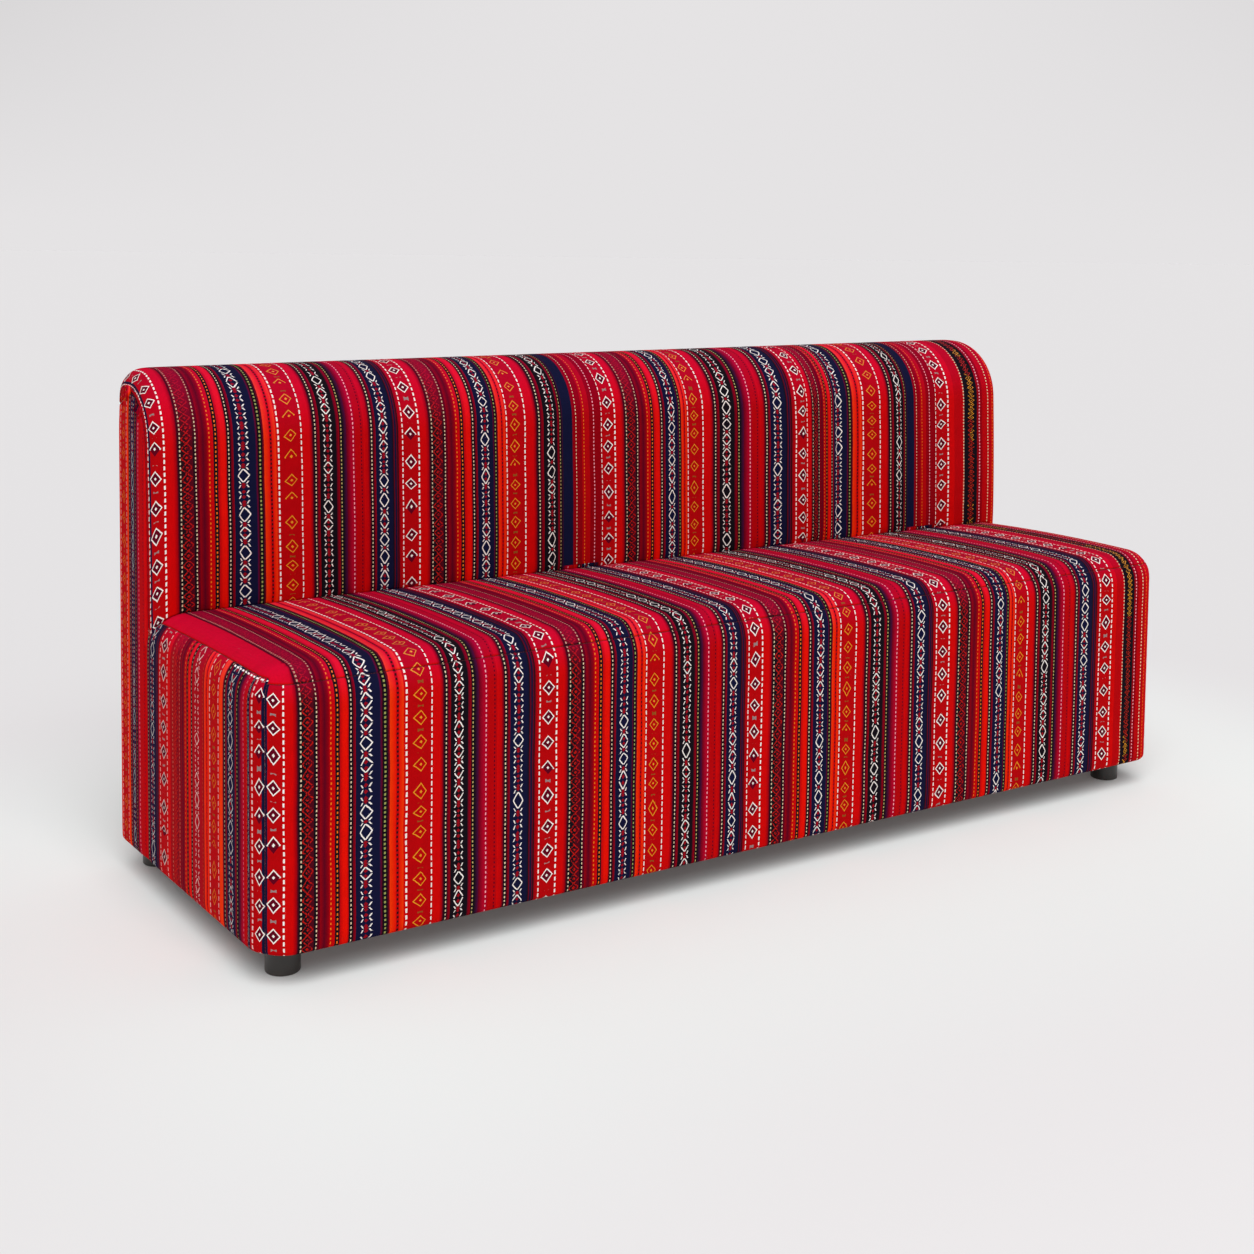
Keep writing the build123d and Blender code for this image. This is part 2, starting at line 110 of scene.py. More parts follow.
class Shell:
    """Collects points and faces, with what each point carries for the cloth's own coordinates."""

    def __init__(self):
        self.points, self.faces, self.panels, self.marks = [], [], [], {}

    def add(self, point, **marks):
        self.points.append(point)
        for name, value in marks.items():
            self.marks.setdefault(name, {})[len(self.points) - 1] = value
        return len(self.points) - 1

    def face(self, corners, panel):
        distinct = list(dict.fromkeys(corners))
        if len(distinct) > 2:
            self.faces.append(distinct)
            self.panels.append(panel)

    def object(self, name):
        mesh = bpy.data.meshes.new(name)
        mesh.from_pydata([tuple(p) for p in self.points], [], self.faces)
        for mark, values in self.marks.items():
            layer = mesh.attributes.new(mark, "FLOAT_VECTOR", "POINT")
            for index, value in values.items():
                layer.data[index].vector = (*value, 0.0)
        panel = mesh.attributes.new("panel", "INT", "FACE")
        panel.data.foreach_set("value", self.panels)
        made = bpy.data.objects.new(name, mesh)
        scene.collection.objects.link(made)
        return made


# %% [markdown]
# ## The seat's padding
# A box with rounded edges could be a bevelled cube, but a bevel gives no say over where its
# grid lines run. Here the outline seen from above is walked in even steps, and that walk is
# repeated up the wall and over the edge. Seams can then follow grid lines, and each point
# knows how far along and down the cloth it lies.

# %% The walk round the seat, seen from above
side_run = steps(JOIN, FRONT + SEAT_CORNER)
corner_turns = np.linspace(0, math.pi / 2, CORNER_STEPS + 1)
front_run = steps(-END + SEAT_CORNER, END - SEAT_CORNER)
quarter = SEAT_CORNER * math.pi / 2
walk = []
for y in side_run:
    walk.append((-END + SEAT_CORNER, y, -1, 0, -(END - SEAT_CORNER) - quarter - (y - side_run[-1])))
for a in corner_turns[1:-1]:
    s = -(END - SEAT_CORNER) - SEAT_CORNER * (math.pi / 2 - a)
    walk.append((-END + SEAT_CORNER, FRONT + SEAT_CORNER, -math.cos(a), -math.sin(a), s))
for x in front_run:
    walk.append((x, FRONT + SEAT_CORNER, 0, -1, x))
mirrored = walk[: len(side_run) + CORNER_STEPS - 1]
walk += [(-x, y, -nx, ny, -s) for x, y, nx, ny, s in reversed(mirrored)]
CORNER_A = len(side_run) - 1
CORNER_D = CORNER_A + len(front_run) - 1 + 2 * CORNER_STEPS
SEAM_LEFT = CORNER_A + SEAM_STEPS
SEAM_RIGHT = CORNER_D - SEAM_STEPS
print("steps round the seat", len(walk))


# %% The climb from the hem to the top edge
def hem_turn(degrees):
    """Inset and height on the small rounding of the hem."""
    t = math.radians(degrees)
    return HEM_EDGE * (1 - math.sin(t)), LOW + HEM_EDGE * (1 - math.cos(t))


def climb():
    """Inset, height and length of cloth down from the top edge, from the hem upwards."""
    rows = [(d, LOW) for d in (HEM, HEM_MIDDLE, HEM_EDGE)]
    rows += [hem_turn(a) for a in (30, 60, 90)]
    rows += [(0.0, z) for z in steps(LOW + HEM_EDGE, ROUND)[1:]]
    front_angle = math.asin((SEAM_HEIGHT - ROUND) / SEAT_EDGE)
    end_angle = math.acos((SEAT_EDGE - END_SEAM) / SEAT_EDGE)
    turns = [front_angle * k / 3 for k in (1, 2, 3)]
    turns.append(end_angle)
    turns += [end_angle + (math.pi / 2 - end_angle) * k / 4 for k in (1, 2, 3, 4)]
    for t in turns:
        rows.append((SEAT_EDGE * (1 - math.cos(t)), ROUND + SEAT_EDGE * math.sin(t)))
    lengths = [0.0]
    for (d0, z0), (d1, z1) in zip(reversed(rows[:-1]), reversed(rows[1:])):
        lengths.append(lengths[-1] + math.hypot(d1 - d0, z1 - z0))
    return [(d, z, drop) for (d, z), drop in zip(rows, reversed(lengths))]


rows = climb()
ROW_FRONT_SEAM = min(range(len(rows)), key=lambda j: abs(rows[j][1] - SEAM_HEIGHT))
ROW_END_SEAM = ROW_FRONT_SEAM + 1
print("rows up the seat", len(rows), "front seam at row", ROW_FRONT_SEAM)

# %% Panels of the seat's cover
SEAT_FRONT, SEAT_LEFT, SEAT_RIGHT, SEAT_UPPER = 0, 1, 2, 3
top_y = FRONT + SEAT_EDGE


def unroll(value, limit, radius):
    """Length over a rounded edge that starts at limit."""
    over = np.clip((abs(value) - limit) / radius, 0, 1)
    return math.copysign(min(abs(value), limit) + radius * math.asin(over), value)


def top_cloth(x, y):
    """Where a point of the top lies on its cloth."""
    over = min(max((top_y - y) / SEAT_EDGE, 0), 1)
    return unroll(x, END - SEAT_EDGE, SEAT_EDGE), max(y - top_y, 0) - SEAT_EDGE * math.asin(over)


def seat_shell():
    shell = Shell()
    grid = []
    for d, z, drop in rows:
        lift = max(0.0, min(1.0, (z - ROUND) / SEAT_EDGE)) ** 2
        line = []
        for cx, cy, nx, ny, s in walk:
            x, y = cx + nx * (SEAT_CORNER - d), cy + ny * (SEAT_CORNER - d)
            side = abs(s) - (END - SEAT_CORNER) - quarter
            line.append(
                shell.add(
                    (x, y, z + lift * seat_crown(y)),
                    front_cloth=(s, -drop),
                    side_cloth=(side, -drop),
                    top_cloth=top_cloth(x, y),
                )
            )
        grid.append(line)
    for j in range(len(rows) - 1):
        for i in range(len(walk) - 1):
            if SEAM_LEFT <= i < SEAM_RIGHT:
                panel = SEAT_FRONT if j < ROW_FRONT_SEAM else SEAT_UPPER
            elif j < ROW_END_SEAM:
                panel = SEAT_LEFT if i < SEAM_LEFT else SEAT_RIGHT
            else:
                panel = SEAT_UPPER
            shell.face((grid[j][i], grid[j][i + 1], grid[j + 1][i + 1], grid[j + 1][i]), panel)
    edge = grid[-1]
    previous = edge[CORNER_A : CORNER_D + 1]
    for k in range(len(side_run)):
        y = side_run[-1 - k]
        line = [edge[CORNER_A - k]]
        for i in range(CORNER_A + 1, CORNER_D):
            x = shell.points[edge[i]][0]
            z = rows[-1][1] + seat_crown(y)
            cloth = top_cloth(x, y)
            line.append(shell.add((x, y, z), top_cloth=cloth))
        line.append(edge[CORNER_D + k])
        for a, b, c, d in zip(previous, previous[1:], line[1:], line):
            shell.face((a, b, c, d), SEAT_UPPER)
        previous = line
    return shell


seat_form = seat_shell()
print("seat form", len(seat_form.points), "points", len(seat_form.faces), "faces")

# %% [markdown]
# ## The backrest's padding
# Seen from the end the backrest is a D: the face leans back and rolls over a large radius.
# That outline is walked from the foot of the face over the top and down the rear, and
# repeated along the length. At each end it shrinks through a quarter turn, and a flat end
# piece closes it.

# %% The walk over the backrest, seen from the end
FACE_SLOPE = math.atan2(
    face_line(BACK_TOP - BACK_ROLL + MM) - face_line(BACK_TOP - BACK_ROLL - MM), 2 * MM
)
roll_z = BACK_TOP - BACK_ROLL
roll_y = face_line(roll_z) + BACK_ROLL / math.cos(FACE_SLOPE)
rear_y = REAR - BACK_REAR_EDGE
rear_z = BACK_TOP - BACK_REAR_EDGE
FACE_STEPS = len(steps(ROUND, roll_z)) - 1
ROLL_STEPS = 16
FLAT_STEPS = 2
EDGE_STEPS = 8
rear_rows = [rear_z, *steps(REAR_SEAM, ROUND), *steps(ROUND, LOW + HEM_EDGE)[1:]]
turns_end = np.linspace(0, math.pi / 2, 8)


def seat_surface(x):
    """Height of the seat's rounded end where the backrest rests on it."""
    over = np.clip((abs(x) - (END - SEAT_EDGE)) / SEAT_EDGE, 0, 1)
    return ROUND + SEAT_EDGE * math.sqrt(1 - over * over)


def back_walk(x, inset):
    """Points of the outline, drawn in by inset, and the length of cloth from the face's foot."""
    low = seat_surface(x)
    high = roll_z + (BACK_ROLL - inset) * math.sin(FACE_SLOPE)
    line = [(face_line(z) + inset, z) for z in np.linspace(low, high, FACE_STEPS + 1)]
    for a in np.linspace(FACE_SLOPE, math.pi / 2, ROLL_STEPS + 1)[1:]:
        radius = BACK_ROLL - inset
        line.append((roll_y - radius * math.cos(a), roll_z + radius * math.sin(a)))
    line += [(y, BACK_TOP - inset) for y in np.linspace(roll_y, rear_y, FLAT_STEPS + 1)[1:]]
    for a in np.linspace(math.pi / 2, 0, EDGE_STEPS + 1)[1:]:
        radius = BACK_REAR_EDGE - inset
        line.append((rear_y + radius * math.cos(a), rear_z + radius * math.sin(a)))
    line += [(REAR - inset, z) for z in rear_rows[1:]]
    return line


outline = back_walk(0.0, 0.0)
cloth_run = [0.0]
for (y0, z0), (y1, z1) in zip(outline, outline[1:]):
    cloth_run.append(cloth_run[-1] + math.hypot(y1 - y0, z1 - z0))
cloth_run = [run + outline[0][1] - FACE_LOW for run in cloth_run]
TOP_A = FACE_STEPS
TOP_B = TOP_A + ROLL_STEPS + FLAT_STEPS + EDGE_STEPS
ROW_REAR_SEAM = TOP_B + 1
print("steps over the backrest", len(outline), "cloth", round(cloth_run[-1], 3), "m")

# %% Panels of the backrest's cover
BACK_FRONT, BACK_LEFT, BACK_RIGHT, BACK_REAR = 4, 5, 6, 7
main_run = steps(-END + BACK_END_EDGE, END - BACK_END_EDGE)
columns = [(-END + BACK_END_EDGE - BACK_END_EDGE * math.sin(t), t) for t in turns_end[:0:-1]]
columns += [(x, 0.0) for x in main_run]
columns += [(-x, t) for x, t in reversed(columns[: len(turns_end) - 1])]
MAIN_A = len(turns_end) - 1
MAIN_B = MAIN_A + len(main_run) - 1


def back_shell():
    shell = Shell()
    grid = []
    for x, turn in columns:
        inset = BACK_END_EDGE * (1 - math.cos(turn))
        u = math.copysign(min(abs(x), END - BACK_END_EDGE) + BACK_END_EDGE * turn, x)
        round_rear = REAR - BACK_END_EDGE + BACK_END_EDGE * (math.pi / 2 - turn)
        line = []
        for j, ((y, z), v) in enumerate(zip(back_walk(x, inset), cloth_run)):
            side = round_rear if j >= TOP_B else y
            line.append(shell.add((x, y, z), front_cloth=(u, v), side_cloth=(side, z)))
        grid.append(line)
    for i in range(len(columns) - 1):
        end_strip = not MAIN_A <= i < MAIN_B
        for j in range(len(outline) - 1):
            panel = BACK_FRONT
            if j >= ROW_REAR_SEAM:
                panel = BACK_REAR
                if end_strip:
                    panel = BACK_LEFT if i < MAIN_A else BACK_RIGHT
            shell.face((grid[i][j], grid[i + 1][j], grid[i + 1][j + 1], grid[i][j + 1]), panel)
    feet = []
    for column, panel, sign in ((grid[0], BACK_LEFT, -1), (grid[-1], BACK_RIGHT, 1)):
        feet.append(close_end(shell, column, panel, sign))
    walk_low = feet[0] + [line[-1] for line in grid[1:-1]] + feet[1][::-1]
    hem_rows(shell, walk_low)
    return shell


def lengths_along(line):
    """How far along a line of points each one lies, from 0 to 1."""
    hops = [np.linalg.norm(b - a) for a, b in zip(line, line[1:])]
    run = np.concatenate([[0.0], np.cumsum(hops)])
    return run / run[-1]


def close_end(shell, column, panel, sign):
    """The flat end piece: four curved sides with an even net between, and its part to the hem."""
    first, last = TOP_A + ROLL_STEPS // 2, TOP_B - EDGE_STEPS // 2
    x = sign * END
    top = column[first : last + 1]
    tops = [np.array(shell.points[k][1:]) for k in top]
    lefts = [np.array(shell.points[k][1:]) for k in column[first::-1]]
    right = column[last:]
    rights = [np.array(shell.points[k][1:]) for k in right]
    foot = min(range(len(right)), key=lambda k: abs(rights[k][1] - lefts[-1][1]))
    share = lengths_along(tops)
    fall = lengths_along(rights[: foot + 1])
    left_run = lengths_along(lefts)
    lines = [top]
    for level in range(1, len(right)):
        line = []
        for k, s in enumerate(share[:-1]):
            if level <= foot:
                f = fall[level]
                left = np.array([np.interp(f, left_run, [p[n] for p in lefts]) for n in (0, 1)])
                low = lefts[-1] * (1 - s) + rights[foot] * s
                corners = (1 - f) * ((1 - s) * tops[0] + s * tops[-1]) + f * low
                y, z = (1 - f) * tops[k] + f * low + (1 - s) * left + s * rights[level] - corners
            else:
                y, z = JOIN + s * (rights[level][0] - JOIN), rights[level][1]
            line.append(shell.add((x, y, z), side_cloth=(y, z)))
        lines.append([*line, right[level]])
    for upper, lower in zip(lines, lines[1:]):
        for k in range(len(share) - 1):
            shell.face((upper[k], upper[k + 1], lower[k + 1], lower[k]), panel)
    return lines[-1]


def hem_rows(shell, line):
    """Turns the foot of the cover in under the frame."""
    base = [np.array(shell.points[k]) for k in line]
    facing = []
    for p in base:
        across = np.array([max(abs(p[0]) - (END - BACK_END_EDGE), 0) * np.sign(p[0]), 0.0, 0.0])
        across[1] = max(p[1] - (REAR - BACK_END_EDGE), 0)
        if p[1] <= REAR - BACK_END_EDGE + MM / 10:
            across = np.array([np.sign(p[0]), 0.0, 0.0])
        facing.append(across / np.linalg.norm(across))
    previous = line
    for d, z in [hem_turn(a) for a in (60, 30, 0)] + [(HEM_MIDDLE, LOW), (HEM, LOW)]:
        current = []
        for p, n, k in zip(base, facing, line):
            q = p - n * d
            v = z - LOW - d
            u, _ = shell.marks["front_cloth"].get(k, (0, 0))
            run = cloth_run[-1] + (LOW + HEM_EDGE - z) + d
            side, _ = shell.marks["side_cloth"][k]
            current.append(shell.add((q[0], q[1], z), front_cloth=(u, run), side_cloth=(side, v)))
        for i in range(len(line) - 1):
            x = (base[i][0] + base[i + 1][0]) / 2
            panel = BACK_REAR
            if abs(x) > END - BACK_END_EDGE:
                panel = BACK_LEFT if x < 0 else BACK_RIGHT
            shell.face((previous[i], previous[i + 1], current[i + 1], current[i]), panel)
        previous = current


back_form = back_shell()
print("backrest form", len(back_form.points), "points", len(back_form.faces), "faces")

# %% [markdown]
# ## Blowing the cover up over its foam
# Foam pushes a sewn cover outwards everywhere but at its seams. A cloth simulation shows that
# better than any formula: the seams are pinned, the air under the cloth presses, and the
# swelling is then held to the few millimetres that tight upholstery allows. Over a rounding a
# tight cloth alone would sink in, and there the foam underneath carries it.

# %% Look at a form: which way is out, and where it is sewn
SWELL = 2.6 * MM
inside_seat = Vector((0, (FRONT + JOIN) / 2, SEAT_TOP / 2))
inside_back = Vector((0, (JOIN + REAR) / 2 + 20 * MM, BACK_TOP / 2))


def array(mesh, what="co"):
    values = np.zeros(len(mesh.vertices) * 3)
    mesh.vertices.foreach_get(what, values)
    return values.reshape(-1, 3)


def face_outwards(form, inside):
    bm = bmesh.new()
    bm.from_mesh(form.data)
    bmesh.ops.remove_doubles(bm, verts=bm.verts, dist=MM / 50)
    bmesh.ops.recalc_face_normals(bm, faces=bm.faces)
    votes = sum(f.normal.dot(f.calc_center_median() - inside) for f in bm.faces)
    if votes < 0:
        bmesh.ops.reverse_faces(bm, faces=bm.faces)
    bm.to_mesh(form.data)
    bm.free()
    form.data.update()


def sewn_points(form):
    """Points on a seam or on an open edge."""
    bm = bmesh.new()
    bm.from_mesh(form.data)
    panel = bm.faces.layers.int["panel"]
    sewn = set()
    for edge in bm.edges:
        if len(edge.link_faces) < 2 or len({f[panel] for f in edge.link_faces}) > 1:
            sewn.update(v.index for v in edge.verts)
    bm.free()
    return sorted(sewn)


# %% Swell a form by simulation, held up by the foam where the cloth would sink in
SKIN = 1.5 * MM
REAR_SKIN = 0.6 * MM
PRESSURE = 4.0
FRAMES = 20
FOAM_REACH = 30 * MM
FOAM_SHARE = 0.9
BLEND = 0.4 * MM


def swell_by_cloth(form, sewn):
    group = form.vertex_groups.new(name="sewn")
    group.add(sewn, 1.0, "REPLACE")
    cloth = form.modifiers.new("cover", "CLOTH")
    cloth.settings.vertex_group_mass = "sewn"
    cloth.settings.quality = 6
    cloth.settings.mass = 0.3
    cloth.settings.tension_stiffness = 15
    cloth.settings.compression_stiffness = 15
    cloth.settings.bending_stiffness = 0.8
    cloth.settings.air_damping = 3
    cloth.settings.use_pressure = True
    cloth.settings.uniform_pressure_force = PRESSURE
    cloth.settings.effector_weights.gravity = 0
    cloth.collision_settings.use_collision = False
    for number in range(1, FRAMES + 1):
        scene.frame_set(number)
    graph = bpy.context.evaluated_depsgraph_get()
    moved = array(form.evaluated_get(graph).to_mesh())
    form.evaluated_get(graph).to_mesh_clear()
    form.modifiers.remove(cloth)
    form.vertex_groups.remove(group)
    scene.frame_set(1)
    return moved


def swell(form, inside):
    face_outwards(form, inside)
    mesh = form.data
    normals = array(mesh, "normal")
    flat = array(mesh)
    skin = np.interp(flat[:, 1], (REAR - HEM_EDGE, REAR - MM / 2), (SKIN, REAR_SKIN))
    rest = flat - normals * skin[:, None]
    mesh.vertices.foreach_set("co", rest.ravel())
    mesh.update()
    sewn = sewn_points(form)
    tree = KDTree(len(sewn))
    for k in sewn:
        tree.insert(rest[k], k)
    tree.balance()
    gap = np.array([tree.find(p)[2] for p in rest])
    foam = SWELL * (1 - np.exp(-gap / FOAM_REACH))
    out = foam
    moved = swell_by_cloth(form, sewn)
    cloth = ((moved - rest) * normals).sum(1)
    moves = [round(float(value) / MM, 1) for value in (cloth.min(), cloth.max())]
    print(form.name, "cloth moved", moves, "mm")
    cloth = SWELL * np.tanh(cloth / SWELL)
    held = FOAM_SHARE * foam
    out = (cloth + held + np.sqrt((cloth - held) ** 2 + BLEND**2) - BLEND) / 2
    mesh.vertices.foreach_set("co", (rest + normals * out[:, None]).ravel())
    mesh.update()
    print(form.name, "swollen by", round(float(out.mean()) / MM, 2), "mm on average")


seat = seat_form.object("seat_form")
back = back_form.object("back_form")
swell(seat, inside_seat)
swell(back, inside_back)

# %% [markdown]
# ## Where the stripes lie
# The cloth repeats about every 406 mm, but it was drawn on by hand, so its bands sit a little
# off in each repeat. The named bands below are where they lie on the sofa, in millimetres from
# the middle. Between them the cloth is stretched evenly, and what comes out is a place in the
# repeat. That place goes into the UV map, so the weave needs no other measure.

# %% Bands of the cloth, in the repeat and on the sofa
REPEAT = 406.0
BANDS = (0, 137, 197, 260, 357)
SEAT_BANDS = (
    (-883, -750, -664, -604, -506),
    (-455, -321, -266, -204, -114),
    (-72, 64, 121, 185, 285),
    (335, 473, 523, 586, 688),
    (745, 889, 950, 1013, 1110),
)
BACK_BANDS = (
    (-895, -755, -674, -612, -513),
    (-464, -323, -266, -191, -120),
    (-75, 64, 112, 187, 308),
    (371, 455, 545, 617, 681),
    (728, 917, 980, 1045, 1140),
)


def in_repeat(places):
    """Tables that turn a place on the sofa into a place in the running pattern."""
    here = [p for row in places for p in row]
    there = [b + REPEAT * k for k in range(len(places)) for b in BANDS]
    return here, there


def follow(table, u):
    """The place in the running pattern of a point u metres along the sofa."""
    here, there = table
    value = float(np.interp(u / MM, here, there))
    if u / MM < here[0]:
        value = u / MM - here[0]
    return value * MM


seat_table = in_repeat(SEAT_BANDS)
back_table = in_repeat(BACK_BANDS)
print("bands on the seat", len(seat_table[0]), "on the backrest", len(back_table[0]))

# %% Cloth of each panel: what part of the pattern it was cut from
PLAIN_EDGE = -852 * MM
PLAIN_PLACE, PLAIN_STRETCH = 24, 0.12
SIDE_REPEAT = 8 * REPEAT
SIDE_PLACES = (
    (12, 421), (22, 416), (29, 406), (36, 396), (44, 391), (50, 386), (56, 325), (67, 304),
    (112, 260), (158, 214.5), (175, 197), (190, 181), (216, 160), (242, 137), (262, 114.5),
    (288, 83), (312, 62), (327, 48.5), (340, 38), (352, 31), (363, 14.5), (380, 0), (396, -14.5),
    (430, -49), (465, -85), (490, -102), (513, -146), (528, -168), (541, -191.5),
    (555, -209), (570, -225), (578, -235), (590, -248), (611, -269), (640, -300),
)
side_table = ([a for a, _ in SIDE_PLACES], [b + SIDE_REPEAT for _, b in SIDE_PLACES])


def seat_top_cut(u, v):
    """Outside the first cream line the top's cloth is one broad plain stripe."""
    if u < PLAIN_EDGE:
        return (PLAIN_PLACE + (u - PLAIN_EDGE) / MM * PLAIN_STRETCH) * MM, v
    return follow(seat_table, u), v


def seat_side_cut(u, v):
    """The end panels were cut the other way round, so their bands run backwards."""
    return float(np.interp((u + SEAT_CORNER) / MM, *side_table)) * MM, v


def back_side_cut(y, v):
    return float(np.interp((y - FRONT) / MM, *side_table)) * MM, v


CUTS = {
    "seat_front": ("front_cloth", lambda u, v: (follow(seat_table, u), v)),
    "seat_top": ("top_cloth", seat_top_cut),
    "seat_left": ("side_cloth", seat_side_cut),
    "seat_right": ("side_cloth", seat_side_cut),
    "back_front": ("front_cloth", lambda u, v: (follow(back_table, u), v)),
    "back_left": ("side_cloth", back_side_cut),
    "back_right": ("side_cloth", back_side_cut),
    "back_rear": ("front_cloth", lambda u, v: (follow(back_table, -u), v)),
}

# %% [markdown]
# ## Cutting the panels and turning their edges in
# A seam is where two panels roll in towards each other. Each panel gets three narrow rows of
# faces along its edge, then a Geometry Nodes tree rolls that edge in and gives it the faint
# pucker that a tight thread makes. The tree has its sizes as named inputs, so every panel
# runs through the same rule.

# %% Geometry Nodes: roll a panel's edge in along its seams
EDGE_ROLL = 3.2 * MM
FLAT_ROLL = 1.2 * MM
REAR_BAND = 6 * MM
PUCKER = 0.35 * MM
PUCKER_PITCH = 21 * MM
WOBBLE_SCALE, WOBBLE_TURNS = 14.0, 9.0
PUCKER_FADE = 90.0


class Graph:
    """Adds nodes to a tree with their values, and hands back an output, the first if not told."""

    def __init__(self, tree):
        self.tree = tree

    def put(self, socket, value):
        if isinstance(value, bpy.types.NodeSocket):
            self.tree.links.new(value, socket)
        elif value is not None:
            socket.default_value = value

    def node(self, kind, *values, out=0, **settings):
        made = self.tree.nodes.new(kind)
        for name, value in settings.items():
            setattr(made, name, value)
        for socket, value in zip(made.inputs, values):
            self.put(socket, value)
        return made.outputs[out]

    def math(self, operation, *values):
        return self.node("ShaderNodeMath", *values, operation=operation)

    def vector(self, operation, *values):
        return self.node("ShaderNodeVectorMath", *values, operation=operation)

    def plus(self, a, b):
        return self.math("ADD", a, b)

    def minus(self, a, b):
        return self.math("SUBTRACT", a, b)

    def times(self, a, b):
        return self.math("MULTIPLY", a, b)

    def over(self, a, b):
        return self.math("DIVIDE", a, b)

    def size(self, a):
        return self.math("ABSOLUTE", a)

    def fract(self, a):
        return self.math("FRACT", a)

    def mix(self, share, a, b):
        """A colour between a and b."""
        made = self.tree.nodes.new("ShaderNodeMix")
        made.data_type = "RGBA"
        for name, value in (("Factor_Float", share), ("A_Color", a), ("B_Color", b)):
            self.put(next(s for s in made.inputs if s.identifier == name), value)
        return next(s for s in made.outputs if s.identifier == "Result_Color")


def open_tree(name, inputs):
    """A Geometry Nodes tree with its group input, its output and named inputs."""
    tree = bpy.data.node_groups.new(name, "GeometryNodeTree")
    tree.interface.new_socket("Geometry", in_out="INPUT", socket_type="NodeSocketGeometry")
    tree.interface.new_socket("Geometry", in_out="OUTPUT", socket_type="NodeSocketGeometry")
    for label, kind, value in inputs:
        socket = tree.interface.new_socket(label, in_out="INPUT", socket_type=kind)
        if value is not None:
            socket.default_value = value
    entry = tree.nodes.new("NodeGroupInput")
    leave = tree.nodes.new("NodeGroupOutput")
    return tree, Graph(tree), entry.outputs, leave.inputs


def close_tree(tree, graph, leave, geometry, material):
    """Ends a tree as the export needs it: real geometry with its material set."""
    real = graph.node("GeometryNodeRealizeInstances", geometry)
    dressed = tree.nodes.new("GeometryNodeSetMaterial")
    graph.put(dressed.inputs["Geometry"], real)
    graph.put(dressed.inputs["Material"], material)
    graph.put(leave["Geometry"], dressed.outputs["Geometry"])


def named(graph, name, kind="FLOAT"):
    field = graph.tree.nodes.new("GeometryNodeInputNamedAttribute")
    field.data_type = kind
    field.inputs["Name"].default_value = name
    return field.outputs["Attribute"]


def roll_tree():
    tree, g, entry, leave = open_tree(
        "roll_panel_edges",
        [
            ("Roll radius", "NodeSocketFloat", EDGE_ROLL),
            ("Pucker depth", "NodeSocketFloat", PUCKER),
            ("Pucker pitch", "NodeSocketFloat", PUCKER_PITCH),
            ("Seed", "NodeSocketInt", 3),
            ("Material", "NodeSocketMaterial", None),
        ],
    )
    full, depth, pitch, seed = (entry[k] for k in (1, 2, 3, 4))
    radius = g.times(full, named(g, "roll_share"))
    gap = named(g, "from_seam")
    run = named(g, "seam_run")
    near = g.minus(radius, g.math("MINIMUM", gap, radius))
    under = g.minus(g.times(radius, radius), g.times(near, near))
    rolled = g.minus(radius, g.math("SQRT", g.math("MAXIMUM", under, 0.0)))
    wave = g.times(g.over(run, pitch), 2 * math.pi)
    wobble = g.node(
        "ShaderNodeTexNoise", None, g.plus(run, seed), WOBBLE_SCALE, noise_dimensions="1D"
    )
    wave = g.math("SINE", g.plus(wave, g.times(wobble, WOBBLE_TURNS)))
    fade = g.math("EXPONENT", g.times(gap, -PUCKER_FADE))
    pucker = g.times(g.times(depth, wave), fade)
    move = g.minus(pucker, rolled)
    shift = g.vector("SCALE", named(g, "outward", "FLOAT_VECTOR"))
    g.put(shift.node.inputs["Scale"], move)
    placed = tree.nodes.new("GeometryNodeSetPosition")
    g.put(placed.inputs["Geometry"], entry[0])
    g.put(placed.inputs["Offset"], shift)
    close_tree(tree, g, leave, placed.outputs[0], entry[5])
    return tree


edge_roll = roll_tree()
print("tree", edge_roll.name, "with", len(edge_roll.nodes), "nodes")


# %% Run a tree on a piece and keep the result as a plain mesh
def grow(piece, tree, **values):
    """Puts a tree on a piece, sets its named inputs and bakes it into the mesh."""
    modifier = piece.modifiers.new(tree.name, "NODES")
    modifier.node_group = tree
    for socket in tree.interface.items_tree:
        key = socket.name.replace(" ", "_").lower()
        if socket.in_out == "INPUT" and key in values:
            modifier[socket.identifier] = values[key]
    piece.update_tag()
    graph = bpy.context.evaluated_depsgraph_get()
    made = bpy.data.meshes.new_from_object(piece.evaluated_get(graph), depsgraph=graph)
    piece.modifiers.remove(modifier)
    piece.data = made
    return piece


# %% Cut one panel out of a form, with its part of the pattern
def cut_panel(form, number, name):
    bm = bmesh.new()
    bm.from_mesh(form.data)
    panel = bm.faces.layers.int["panel"]
    away = [f for f in bm.faces if f[panel] != number]
    bmesh.ops.delete(bm, geom=away, context="FACES")
    source, cut = CUTS[name]
    cloth = bm.verts.layers.float_vector[source]
    weave = bm.loops.layers.uv.new("weave")
    for f in bm.faces:
        for loop in f.loops:
            loop[weave].uv = cut(*loop.vert[cloth][:2])
    for key in bm.verts.layers.float_vector.keys():
        bm.verts.layers.float_vector.remove(bm.verts.layers.float_vector[key])
    mesh = bpy.data.meshes.new(name)
    bm.to_mesh(mesh)
    bm.free()
    made = bpy.data.objects.new(name, mesh)
    scene.collection.objects.link(made)
    finer = made.modifiers.new("finer", "SUBSURF")
    finer.levels = finer.render_levels = 1
    finer.boundary_smooth = "PRESERVE_CORNERS"
    finer.uv_smooth = "NONE"
    graph = bpy.context.evaluated_depsgraph_get()
    made.data = bpy.data.meshes.new_from_object(made.evaluated_get(graph), depsgraph=graph)
    made.modifiers.clear()
    return made


